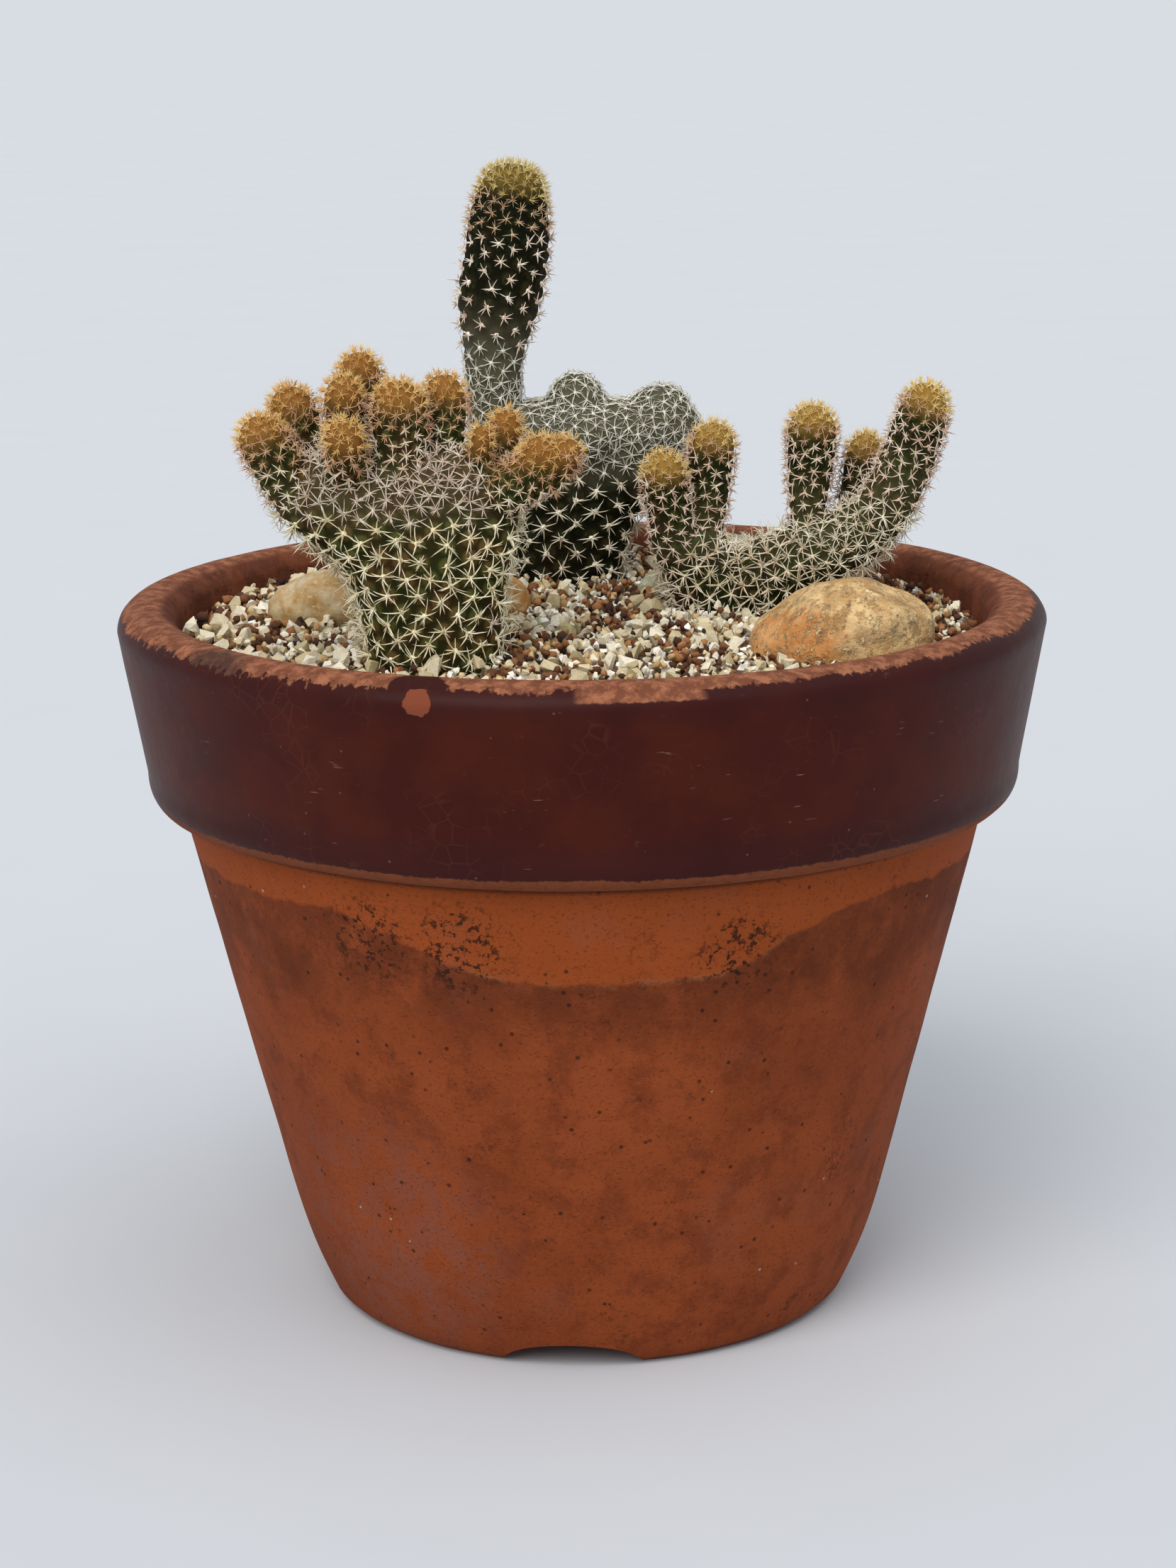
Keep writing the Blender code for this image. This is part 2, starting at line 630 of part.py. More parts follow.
def make_stones(parts, cutters):
    rooms = []
    for name, (near, offset, sizes, turn, seed, finish, detail, rough) in STONES.items():
        x, y = (share * GRIT_RADIUS + offset[i] * MM for i, share in enumerate(near))
        place = Vector((x, y, grit_height(x, y) + offset[2] * MM))
        half_sizes = [size * MM for size in sizes]
        stone(name, place, half_sizes, turn, seed, parts, finish, detail, rough)
        room = stone(f"{name}_room", place, half_sizes, turn, seed, cutters, None, detail, rough, CLEARANCE)
        rooms.append(as_cutter(room))
    return rooms


def main():
    clear_scene()
    parts = new_collection("potted_finger_cactus")
    cutters = new_collection("cutters")
    make_pot(parts, cutters)
    make_drain_net(parts)
    mix = make_potting_mix(parts, cutters)
    grit = make_top_grit(parts)
    plant_rooms = make_left_plant(parts, cutters)
    plant_rooms += make_middle_plant(parts, cutters)
    plant_rooms += make_right_plant(parts, cutters)
    stone_rooms = make_stones(parts, cutters)
    buried = [room for room in plant_rooms if room.name.endswith("trunk_room_0")]
    cut_by(mix, buried)
    # An arm's room goes before the room of the stem it leans on: the exact solver copes better that way round.
    cut_by(grit, plant_rooms[::-1] + stone_rooms)


main()
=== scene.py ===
# %% [markdown]
# # Three finger cacti in a glazed-rim clay pot
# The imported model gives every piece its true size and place. This lesson builds the surfaces around it:
# fired clay and glaze, loose grit, worn stones, and the skins and spines of three small cacti.
# Everything is in metres, with the front of the pot facing -Y.

# %% Load the model and keep its box
import json
import math

import bmesh
import bpy
import numpy as np
from mathutils import Matrix, Vector, bvhtree, kdtree, noise

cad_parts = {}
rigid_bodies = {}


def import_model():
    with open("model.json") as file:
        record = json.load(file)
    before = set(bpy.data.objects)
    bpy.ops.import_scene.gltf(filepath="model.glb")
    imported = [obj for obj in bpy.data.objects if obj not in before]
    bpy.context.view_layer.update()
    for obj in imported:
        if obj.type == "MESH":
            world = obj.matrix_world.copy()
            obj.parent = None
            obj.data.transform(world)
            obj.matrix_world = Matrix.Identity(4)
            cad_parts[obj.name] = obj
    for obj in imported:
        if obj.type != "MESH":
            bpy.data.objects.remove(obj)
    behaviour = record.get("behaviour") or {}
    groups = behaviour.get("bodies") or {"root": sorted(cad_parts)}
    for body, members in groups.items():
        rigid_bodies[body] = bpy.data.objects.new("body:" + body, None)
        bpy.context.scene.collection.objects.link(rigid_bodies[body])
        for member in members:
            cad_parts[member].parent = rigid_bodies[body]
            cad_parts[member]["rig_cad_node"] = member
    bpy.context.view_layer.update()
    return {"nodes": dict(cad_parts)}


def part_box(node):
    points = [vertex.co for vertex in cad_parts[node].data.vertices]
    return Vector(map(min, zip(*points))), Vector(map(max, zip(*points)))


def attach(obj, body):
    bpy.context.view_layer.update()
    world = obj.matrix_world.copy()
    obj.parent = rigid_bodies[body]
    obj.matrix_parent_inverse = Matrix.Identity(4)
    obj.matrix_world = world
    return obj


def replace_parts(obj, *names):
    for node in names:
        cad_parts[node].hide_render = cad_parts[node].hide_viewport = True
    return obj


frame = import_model()
NODES = frame["nodes"]
MM = 0.001

# %% [markdown]
# ## Camera
# The pot is seen from a little above its rim with a long lens, so its sides hardly converge. The lens, place
# and tilt are plain numbers, turned into one matrix.

# %% Camera
def linked(obj):
    """Puts a new object into the scene."""
    bpy.context.scene.collection.objects.link(obj)
    return obj


def aim_camera(place, pitch, yaw, roll, lens):
    forward = Vector((math.sin(yaw) * math.cos(pitch), math.cos(yaw) * math.cos(pitch), -math.sin(pitch)))
    right = forward.cross(Vector((0, 0, 1))).normalized()
    up = right.cross(forward)
    tilted_right = right * math.cos(roll) + up * math.sin(roll)
    tilted_up = up * math.cos(roll) - right * math.sin(roll)
    camera = linked(bpy.data.objects.new("camera", bpy.data.cameras.new("camera")))
    camera.data.lens = lens
    camera.data.clip_start, camera.data.clip_end = 0.01, 60
    axes = Matrix((tilted_right, tilted_up, -forward)).transposed().to_4x4()
    camera.matrix_world = Matrix.Translation(place) @ axes
    return camera


bpy.context.scene.camera = aim_camera((0, -0.4808, 0.1858), 0.2356, 0.00124, -0.01059, 82.81)
bpy.context.scene.view_settings.view_transform = "Standard"

# %% [markdown]
# ## Sums on sockets
# A material is a web of nodes. Written as sums it reads like a recipe, so one small class wraps a socket
# and turns +, -, * and / into the nodes that do them. Numbers use Math nodes; vectors use Vector Math and
# colours use Mix, because a Math node would turn a colour grey.

# %% The socket class and the bench that makes nodes
class Wire:
    """An output socket that can stand in a sum."""

    def __init__(self, bench, socket):
        self.bench, self.socket = bench, socket

    def joined(self, other, operation, flip=False):
        pair = (other, self) if flip else (self, other)
        kinds = {side.socket.type for side in pair if isinstance(side, Wire)}
        if "RGBA" in kinds:
            return self.bench.blend(operation, *pair)
        if "VECTOR" in kinds:
            return self.bench.node("VectorMath", {"operation": operation}, {0: pair[0], 1: pair[1]})
        return self.bench.node("Math", {"operation": operation}, {0: pair[0], 1: pair[1]})

    def __add__(self, other): return self.joined(other, "ADD")
    def __radd__(self, other): return self.joined(other, "ADD", True)
    def __sub__(self, other): return self.joined(other, "SUBTRACT")
    def __rsub__(self, other): return self.joined(other, "SUBTRACT", True)
    def __mul__(self, other): return self.joined(other, "MULTIPLY")
    def __rmul__(self, other): return self.joined(other, "MULTIPLY", True)
    def __truediv__(self, other): return self.joined(other, "DIVIDE")
    def __rtruediv__(self, other): return self.joined(other, "DIVIDE", True)


class Bench:
    """One material's node tree, and short names for the nodes that this lesson uses."""

    def __init__(self, name):
        self.material = bpy.data.materials.new(name)
        self.material.use_nodes = True
        self.tree = self.material.node_tree
        self.shader = self.tree.nodes["Principled BSDF"]

    def plug(self, node, key, value):
        named = [socket for socket in node.inputs if socket.identifier == key]
        socket = named[0] if named else node.inputs[key]
        if isinstance(value, Wire):
            self.tree.links.new(value.socket, socket)
        elif hasattr(value, "__len__") and len(value) < len(getattr(socket, "default_value", value)):
            socket.default_value = (*value, 1.0)
        elif hasattr(socket.default_value, "__len__") and not hasattr(value, "__len__"):
            socket.default_value = [value] * len(socket.default_value)
        else:
            socket.default_value = value

    def node(self, kind, settings=None, inputs=None, out=0):
        made = self.tree.nodes.new("ShaderNode" + kind)
        for key, value in (settings or {}).items():
            if key == "stops":
                stops = made.color_ramp.elements
                while len(stops) < len(value):
                    stops.new(1.0)
                for stop, (place, colour) in zip(stops, value):
                    stop.position, stop.color = place, (*colour, 1.0)
            else:
                setattr(made, key, value)
        for key, value in (inputs or {}).items():
            self.plug(made, key, value)
        outputs = [socket for socket in made.outputs if socket.identifier == out]
        return Wire(self, outputs[0] if outputs else made.outputs[out])

    def blend(self, operation, a, b, share=1.0):
        settings = {"data_type": "RGBA", "blend_type": operation, "clamp_result": False}
        return self.node("Mix", settings, {"Factor_Float": share, "A_Color": a, "B_Color": b}, "Result_Color")

    def mix(self, share, a, b):
        return self.blend("MIX", a, b, share)

    def call(self, operation, *values):
        return self.node("Math", {"operation": operation}, dict(enumerate(values)))

    def highest(self, first, *others):
        for other in others:
            first = self.call("MAXIMUM", first, other)
        return first

    def layered(self, ground, layers):
        """Paints each (share, colour) over the ones before it."""
        for share, colour in layers:
            ground = self.mix(share, ground, colour)
        return ground

    def places(self, stretch=(1, 1, 1)):
        """Points of the surface in millimetres, stretched along an axis if asked."""
        found = self.node("TexCoord", out="Object")
        return found * tuple(1000.0 * s for s in stretch)

    def distance_from(self, point):
        return self.node("VectorMath", {"operation": "DISTANCE"}, {0: self.places(), 1: point}, "Value")

    def cloud(self, size, detail=3.0, rough=0.55, stretch=(1, 1, 1), seed=0.0):
        """Smooth noise from 0 to 1 whose lumps are about this many millimetres across."""
        place = self.places(stretch) + (seed, 2.7 * seed, -1.3 * seed)
        return self.node("TexNoise", None, {"Vector": place, "Scale": 1 / size, "Detail": detail, "Roughness": rough})

    def cells(self, size, feature="F1", out="Distance", seed=0.0):
        place = self.places() + (seed, seed, seed)
        return self.node("TexVoronoi", {"feature": feature}, {"Vector": place, "Scale": 1 / size}, out)

    def ease(self, value, low, high):
        """0 below low and 1 above high, with a smooth step between; low may be the larger."""
        inputs = {"Value": value, "From Min": low, "From Max": high}
        return self.node("MapRange", {"interpolation_type": "SMOOTHSTEP"}, inputs)

    def patches(self, low, high, *shape, **more):
        """Cloud noise turned into patches by an ease."""
        return self.ease(self.cloud(*shape, **more), low, high)

    def spots(self, low, high, *shape, **more):
        """Cells turned into dots or lines by an ease."""
        return self.ease(self.cells(*shape, **more), low, high)

    def attribute(self, name):
        return self.node("Attribute", {"attribute_name": name}, None, "Fac")

    def bump(self, height, depth):
        """A Bump node whose height, from 0 to 1, stands for this many millimetres."""
        return self.node("Bump", None, {"Height": height, "Distance": depth * MM, "Strength": 1.0})

    def paint(self, **sockets):
        for key, value in sockets.items():
            self.plug(self.shader, key.replace("_", " "), value)
        return self.material


def rgb(red, green, blue):
    """A colour given on the 0 to 255 scale of a paint chart, as the linear light that a shader works in."""
    return tuple(((v / 255 + 0.055) / 1.055) ** 2.4 if v > 10 else v / 3295 for v in (red, green, blue))


def dress(obj, material):
    """Gives a piece its material and its place on the fixed body."""
    obj.data.materials.clear()
    obj.data.materials.append(material)
    if "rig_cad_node" not in obj:
        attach(obj, "root")
    return obj


# %% Mesh helpers
def mesh_object(name, points, faces, smooth=True):
    """An object from an array of points and an array of triangles or quads."""
    mesh = bpy.data.meshes.new(name)
    points, faces = np.asarray(points, np.float32), np.asarray(faces, np.int32)
    mesh.vertices.add(len(points))
    mesh.vertices.foreach_set("co", points.ravel())
    mesh.loops.add(faces.size)
    mesh.loops.foreach_set("vertex_index", faces.ravel())
    mesh.polygons.add(len(faces))
    mesh.polygons.foreach_set("loop_start", np.arange(0, faces.size, faces.shape[1], dtype=np.int32))
    mesh.polygons.foreach_set("use_smooth", np.full(len(faces), smooth))
    mesh.update(calc_edges=True)
    return linked(bpy.data.objects.new(name, mesh))


def points_of(obj):
    found = np.empty(len(obj.data.vertices) * 3, np.float32)
    obj.data.vertices.foreach_get("co", found)
    return found.reshape(-1, 3).astype(float)


def set_points(obj, points):
    obj.data.vertices.foreach_set("co", np.asarray(points, np.float32).ravel())
    obj.data.update()


def normals_of(obj):
    found = np.empty(len(obj.data.vertices) * 3, np.float32)
    obj.data.vertex_normals.foreach_get("vector", found)
    return found.reshape(-1, 3).astype(float)


def store(obj, name, values):
    """A number for each point, which a material can read."""
    kept = obj.data.attributes.new(name, "FLOAT", "POINT")
    kept.data.foreach_set("value", np.asarray(values, np.float32))


def apply_modifiers(obj):
    graph = bpy.context.evaluated_depsgraph_get()
    mesh = bpy.data.meshes.new_from_object(obj.evaluated_get(graph))
    obj.modifiers.clear()
    obj.data = mesh
    return obj


def set_smooth(obj, smooth):
    obj.data.polygons.foreach_set("use_smooth", np.full(len(obj.data.polygons), smooth))


def surface_tree(mesh):
    """A tree that finds the nearest point of a mesh."""
    return bvhtree.BVHTree.FromPolygons([v.co for v in mesh.vertices], [tuple(f.vertices) for f in mesh.polygons])


def unit(rows):
    """Each row of an array brought to length 1."""
    return rows / np.linalg.norm(rows, axis=1, keepdims=True)


def smooth_step(value, low, high):
    t = np.clip((value - low) / (high - low), 0, 1)
    return t * t * (3 - 2 * t)


# %% [markdown]
# ## The pot
# The real pot was thrown on a wheel: a section turned about an axis. The same section is drawn here with many
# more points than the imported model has, and turned with numpy, which gives even quads. A slow wobble of a
# tenth of a millimetre keeps it from looking machined. The foot's three notches are cut by one Boolean.

# %% The pot's section
POT_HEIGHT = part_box("pot")[1].z / MM
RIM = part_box("pot")[1].x / MM
LIP, LIP_ROUND, WALL, FLARE = 7.9, 3.1, 5.0, 0.248
BAND, BAND_ROUND, OVERHANG, TAPER = 26.8, 4.6, 7.73, 3.3
TUCK, TUCK_HEIGHT, RECESS = 1.9, 15.5, 3.7
FLOOR, FILLET, DRAIN, SOFT_EDGE = 8.7, 4, 10.0, 0.4
LIP_MIDDLE, SHOULDER = RIM - LIP / 2, POT_HEIGHT - LIP_ROUND
STEP, BODY_TOP, BAND_LOW = POT_HEIGHT - BAND, RIM - OVERHANG, RIM - TAPER


def body_radius(z):
    return BODY_TOP - FLARE * (STEP - z) - TUCK * (max(0.0, TUCK_HEIGHT - z) / TUCK_HEIGHT) ** 2


def inner_radius(z):
    low = body_radius(min(z, STEP)) - WALL
    return low + max(0.0, z - STEP) / (SHOULDER - STEP) * (RIM - LIP - low)


def bow(centre, radii, start, end, count, power=2.0):
    """Part of an oval between two angles in degrees; a power over 2 squares its shoulders."""
    turned = []
    for i in range(count + 1):
        angle = math.radians(start + (end - start) * i / count)
        c, s = math.cos(angle), math.sin(angle)
        turned.append((centre[0] + radii[0] * math.copysign(abs(c) ** (2 / power), c),
                       centre[1] + radii[1] * math.copysign(abs(s) ** (2 / power), s)))
    return turned


def run(start, end, count):
    """Points from start towards end, without the end itself."""
    return [(start[0] + (end[0] - start[0]) * i / count, start[1] + (end[1] - start[1]) * i / count)
            for i in range(count)]


def pot_section():
    outer = bow((LIP_MIDDLE, SHOULDER), (LIP / 2, LIP_ROUND), 90, 0, 12)
    under = bow((BODY_TOP, STEP + BAND_ROUND), (BAND_LOW - BODY_TOP, BAND_ROUND), 0, -90, 16, 2.7)
    outer += run(outer[-1], under[0], 20)[1:] + under
    outer += [(body_radius(z), z) for z in np.linspace(STEP - 1, 1.2, 48)]
    foot = body_radius(0)
    outer += [(foot - 0.25, 0.45), (foot - 0.9, 0.0), (foot - 6.3, 0.0), (foot - 7.2, 0.6), (foot - 7.8, 3.2)]
    outer += run((foot - 8.6, RECESS), (DRAIN + SOFT_EDGE, RECESS), 8)
    outer += [(DRAIN, RECESS + SOFT_EDGE), (DRAIN, FLOOR - SOFT_EDGE), (DRAIN + SOFT_EDGE, FLOOR)]
    corner = (inner_radius(FLOOR + FILLET) - FILLET, FLOOR + FILLET)
    outer += run((DRAIN + 2, FLOOR), (corner[0], FLOOR), 6) + bow(corner, (FILLET, FILLET), -90, 0, 6)
    outer += [(inner_radius(z), z) for z in np.linspace(15, SHOULDER - 1, 40)]
    return outer + bow((LIP_MIDDLE, SHOULDER), (LIP / 2, LIP_ROUND), 180, 90, 12)[:-1]


def turned_mesh(name, section, steps):
    """A closed section turned about Z into even quads."""
    section = np.array(section) * MM
    angles = np.arange(steps) * math.tau / steps
    ring = np.stack([np.cos(angles), np.sin(angles)], 1)
    points = np.concatenate([ring[:, None, :] * section[None, :, :1],
                             np.broadcast_to(section[None, :, 1:], (steps, len(section), 1))], 2)
    i, j = np.meshgrid(np.arange(steps), np.arange(len(section)), indexing="ij")
    i2, j2, n = (i + 1) % steps, (j + 1) % len(section), len(section)
    faces = np.stack([i * n + j, i * n + j2, i2 * n + j2, i2 * n + j], -1).reshape(-1, 4)
    return mesh_object(name, points.reshape(-1, 3), faces[:, ::-1])


pot = turned_mesh("clay_pot", pot_section(), 300)
print("pot section", len(pot_section()), "points;", len(pot.data.polygons), "faces")

# %% A hand-made wobble, and the notches in the foot
def wobble(obj, sizes):
    """Moves points along their normals by smooth noise; sizes holds (width of a lump, height), in millimetres."""
    points, normals = points_of(obj), normals_of(obj)
    shift = np.zeros(len(points))
    for width, height in sizes:
        shift += [height * MM * noise.noise(Vector(p) / (width * MM)) for p in points]
    set_points(obj, points + normals * shift[:, None])


NOTCH_HALF_WIDTH, NOTCH_HEIGHT, NOTCH_COUNT, FIRST_NOTCH = 9.1, 3.3, 3, math.radians(266.1)


def notch_cutter():
    """Three arch-topped tunnels through the foot ring, in one mesh."""
    shape = bmesh.new()
    for number in range(NOTCH_COUNT):
        azimuth = FIRST_NOTCH + number * math.tau / NOTCH_COUNT
        turn = Matrix.Rotation(azimuth + math.pi / 2, 4, "Z") @ Matrix.Rotation(math.pi / 2, 4, "X")
        out = Matrix.Translation(Vector((math.cos(azimuth), math.sin(azimuth), 0)) * (body_radius(0) - 3.5) * MM)
        tunnel = out @ turn @ Matrix.Diagonal((NOTCH_HALF_WIDTH, NOTCH_HEIGHT, 14, 1)) @ Matrix.Scale(MM, 4)
        bmesh.ops.create_cone(shape, cap_ends=True, segments=61, radius1=1, radius2=1, depth=1, matrix=tunnel)
    bmesh.ops.recalc_face_normals(shape, faces=shape.faces)
    mesh = bpy.data.meshes.new("notches")
    shape.to_mesh(mesh)
    return linked(bpy.data.objects.new("notches", mesh))


wobble(pot, [(30, 0.12), (7, 0.06)])
cutter = notch_cutter()
cut = pot.modifiers.new("notches", "BOOLEAN")
cut.operation, cut.solver, cut.object = "DIFFERENCE", "EXACT", cutter
apply_modifiers(pot)
bpy.data.objects.remove(cutter)
pot.data.set_sharp_from_angle(angle=math.radians(50))
print("pot after the notches", len(pot.data.polygons), "faces")

# %% [markdown]
# ## Clay and glaze
# The band was dipped in a dark iron glaze: maroon-brown, satin, a little purple where it thins towards its
# brushed edges, crazed in places and scuffed by years on a bench. The lip has worn back to clay, with one
# round chip. Below the band the fired clay is mottled orange and brown, with stains, black lichen specks, a
# cleaner crescent under the band and a pale mineral bloom near the foot. A painted shadow darkens the step
# where the band overhangs the body. Each is one mask built from height, angle and noise; the marks sit where
# the kiln, water or hands put them, and the painted shadow where the band's shade falls.

# %% Masks that say where the glaze is
clay = Bench("fired_clay_and_glaze")
x, y, z = (clay.node("SeparateXYZ", None, {0: clay.places()}, axis) for axis in "XYZ")
radius = clay.call("SQRT", x * x + y * y)
angle = clay.call("ARCTAN2", y, x) * math.degrees(1)
brush = clay.cloud(0.9, 2, 0.6, (1, 1, 0.22))
drift = clay.cloud(9, 2)


def near(centre, reach, soft, ragged=0.0):
    """1 inside a ball round a point on the pot, with a soft and ragged edge; all in millimetres."""
    return clay.ease(clay.distance_from(centre) + (clay.cloud(1.6, 2) - 0.5) * ragged, reach + soft, reach)


def between(value, low, high, soft):
    return clay.ease(value, low - soft, low + soft) * clay.ease(value, high + soft, high - soft)


CHIP = (-19.9, -59.3, 94.9)
bottom_edge = 71.9 + brush * 0.8 + (drift - 0.5) * 0.7
left_wear = clay.ease(angle, -102, -128)
top_edge = 95.6 + brush * (1.5 + left_wear * 1.2) + (drift - 0.5) * 1.4 - left_wear * 1.1
outside = clay.ease(radius, LIP_MIDDLE - 1.6, LIP_MIDDLE - 1.2)
glazed = clay.ease(z, bottom_edge - 0.12, bottom_edge + 0.12) * clay.ease(z, top_edge + 0.14, top_edge - 0.14)
chip = near(CHIP, 1.75, 0.15, 1.6)
flooded = near((-19.9, -58, 96.6), 3.6, 0.3, 2.0)
bare_patch = between(angle, -90.6, -76.5, 0.7) * clay.ease(z + (brush - 0.5) * 0.5, 95.0, 95.25)
glaze = clay.highest(glazed * outside, flooded * outside) * (1 - chip) * (1 - bare_patch)

# %% Glaze colour, crazing and scuffs
depth = clay.cloud(14, 4, 0.6)
uneven = z + (drift - 0.5) * 3
edge_tint = clay.ease(uneven, 79, 73.5) + clay.ease(uneven, 91, 95.5)
crazing = clay.spots(0.05, 0.012, 2.4, "DISTANCE_TO_EDGE") * clay.patches(0.53, 0.66, 11, 2, seed=7)
scratches = clay.patches(0.665, 0.72, 0.45, 2, 0.5, (0.12, 0.12, 1.0), 3) * clay.patches(0.56, 0.68, 7, 2, seed=5)
scuffs = clay.patches(0.6, 0.72, 1.3, 4, 0.75, seed=11) * clay.patches(0.58, 0.7, 9, 2, seed=13)
specks = clay.spots(0.055, 0.035, 3.6, seed=4)
worn = clay.highest(scratches * 0.75, scuffs * 0.45, specks * 0.4)
band_colour = clay.layered(rgb(61, 18, 12), [
    (clay.ease(depth, 0.36, 0.64), rgb(72, 24, 13)),
    (edge_tint * 0.55, rgb(47, 20, 21)),
    (crazing * 0.18, rgb(104, 59, 47)),
    (worn, rgb(127, 94, 84)),
])

# %% Clay colour, stains, lichen and a painted shadow under the band
mottle = clay.cloud(5, 5, 0.68, seed=21)
drips = clay.cloud(5, 5, 0.7, (1, 1, 0.75), 31)
dip = clay.ease(angle, -126, -99) * clay.ease(angle, -48, -78)
tide = 64.5 - dip * 7.6 + (clay.cloud(9, 5, 0.62, seed=35) - 0.5) * 5.0
below_tide = clay.ease(z, tide + 0.35, tide - 0.35)
shade_belt = below_tide * clay.ease(z + (clay.cloud(12, 3, seed=33) - 0.5) * 16, 46, 57)
tide_mark = between(z, tide - 0.5, tide + 0.25, 0.3) * clay.patches(0.4, 0.62, 4, 3, seed=37) * dip
bloom = near((-27, -31, 17), 10, 14, 8) * clay.ease(mottle, 0.38, 0.62)
dust = clay.patches(0.56, 0.66, 0.5, 3, 0.7, (1, 1, 1.2), 47)
lichen_beds = [near((-15.5, -50, 61.6), 3.5, 5, 5), near((19, -49, 60.4), 2.5, 5, 5), near((-27, -45, 61.5), 3, 5, 6)]
lichen_zone = clay.highest(*lichen_beds, clay.patches(0.6, 0.72, 12, 3, seed=43) * 0.55)
lichen = clay.patches(0.52, 0.57, 1.1, 4, 0.72, seed=41) * lichen_zone
soot = clay.spots(0.16, 0.08, 2.4, seed=9) * clay.patches(0.42, 0.55, 8, 2, seed=45)
# painted shadow: a dark line in the crease where the glazed band overhangs the body
band_step_shadow = between(z, STEP - 0.7, STEP + 0.35, 0.4) * clay.ease(radius, 57.8, 56)
fired = clay.layered(rgb(127, 59, 28), [
    (clay.patches(0.34, 0.66, 26, 4, 0.6), rgb(144, 69, 34)),
    (clay.ease(mottle, 0.44, 0.66) * 0.6, rgb(104, 46, 23)),
    (clay.patches(0.5, 0.72, 0.7, 3, 0.7, seed=23) * 0.35, rgb(140, 79, 49)),
    (shade_belt * clay.ease(drips, 0.26, 0.58) * 0.6, rgb(84, 39, 20)),
    ((1 - below_tide) * 0.7, rgb(155, 74, 31)),
    (tide_mark * 0.35, rgb(154, 101, 67)),
    (bloom * 0.6, rgb(137, 81, 64)),
    (clay.patches(0.55, 0.75, 16, 3, seed=39) * 0.22, rgb(137, 84, 66)),
    (dust * 0.5, rgb(74, 34, 19)),
    (lichen * 0.85, rgb(31, 20, 14)),
    (soot * 0.75, rgb(37, 21, 14)),
    (clay.spots(0.035, 0.02, 8, seed=17) * 0.8, rgb(175, 155, 139)),
    # painted shadow: the dark step line under the band's overhang
    (band_step_shadow * 0.75, rgb(49, 26, 18)),
])

# %% The lip, the darker inside wall and the join between clay and glaze
lip_zone = clay.ease(z, 92, 94.5)
lip_clay = clay.mix(clay.patches(0.36, 0.6, 1.8, 4, 0.7, seed=51), rgb(162, 104, 75), rgb(117, 69, 49))
under_band = between(z, STEP + 0.1, 74, 0.3) * clay.ease(radius, 55, 56)
bare_join = clay.mix(clay.cloud(1.2, 4, 0.7, seed=53), rgb(71, 39, 28), rgb(129, 76, 52))
# the inner wall above the grit is painted darker, with darker blotches
inside = clay.ease(radius, LIP_MIDDLE - 1.4, LIP_MIDDLE - 2.6) * clay.ease(z, 86, 90)
darker_inside = clay.layered(rgb(84, 42, 29), [
    (clay.patches(0.38, 0.62, 6, 4, 0.65, seed=55), rgb(114, 61, 39)),
    (clay.patches(0.56, 0.68, 3, 4, 0.7, seed=57) * 0.7, rgb(46, 26, 21)),
])
fired = clay.layered(fired, [
    (lip_zone, lip_clay),
    (near(CHIP, 2.4, 0.3, 1) * outside, rgb(129, 67, 46)),
    (under_band * 0.7, bare_join),
    (inside * 0.85, darker_inside),
    (near((-48.5, -43.3, 96), 5, 3, 4) * lip_zone * 0.7, rgb(47, 39, 37)),
])
surface = clay.mix(glaze, fired, band_colour)
print("clay nodes", len(clay.tree.nodes))

# %% Gloss and relief of the pot
grain = clay.cloud(0.35, 3, 0.7, seed=61)
pits = clay.spots(0.25, 0.05, 0.9, seed=63) * clay.patches(0.45, 0.6, 4, 2, seed=65)
wheel = clay.cloud(1.4, 2, 0.5, (0.06, 0.06, 1.0), 67)
bare_relief = grain * 0.32 + wheel * 0.22 - pits * 0.3
relief = glaze * 0.45 + (1 - glaze) * bare_relief + glaze * clay.cloud(3.2, 2, seed=69) * 0.12
satin = 0.3 + depth * 0.16 + worn * 0.4 + clay.cloud(2.2, 4, 0.7, seed=71) * 0.14
gloss = clay.mix(glaze, 0.84 - grain * 0.1, satin)
material = clay.paint(Base_Color=surface, Roughness=gloss, Normal=clay.bump(relief, 0.4), Specular_IOR_Level=0.1)
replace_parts(dress(pot, material), "pot")

# %% [markdown]
# ## What lies inside the pot
# The drain net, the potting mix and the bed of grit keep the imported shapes, because little of them shows.
# They only need honest finishes: black moulded plastic, crumbly dark compost with white flecks, and the fine
# dark sand that sits between the grains on top.

# %% Net, mix and sand
net = Bench("black_plastic_net")
scuff = net.cloud(0.8, 4, 0.7)
plastic = net.mix(net.ease(scuff, 0.5, 0.7), rgb(22, 23, 24), rgb(60, 58, 54))
net.paint(Base_Color=plastic, Roughness=0.38 + scuff * 0.3, Normal=net.bump(net.cloud(0.5), 0.05))
dress(NODES["drain_net"], net.material)

mix_bench = Bench("potting_compost")
crumb = mix_bench.cloud(1.6, 5, 0.7)
fleck = mix_bench.spots(0.28, 0.2, 2.6)
earth = mix_bench.mix(mix_bench.ease(crumb, 0.35, 0.65), rgb(44, 30, 22), rgb(92, 66, 46))
mix_bench.paint(Base_Color=mix_bench.mix(fleck * 0.8, earth, rgb(198, 190, 172)), Roughness=0.95 - fleck * 0.1,
                Normal=mix_bench.bump(crumb + fleck * 0.3, 0.9))
dress(NODES["potting_mix"], mix_bench.material)

sand = Bench("fine_dark_sand")
speck = sand.cells(0.7, out="Color")
sand_colour = sand.mix(sand.patches(0.4, 0.62, 0.5, 4, 0.7), rgb(52, 38, 28), rgb(140, 108, 78))
sand_colour = sand.mix(sand.spots(0.3, 0.15, 0.8) * 0.6, sand_colour, speck * rgb(236, 222, 196))
sand.paint(Base_Color=sand_colour, Roughness=0.92, Normal=sand.bump(sand.cells(0.7), 0.4))
dress(NODES["top_grit"], sand.material)

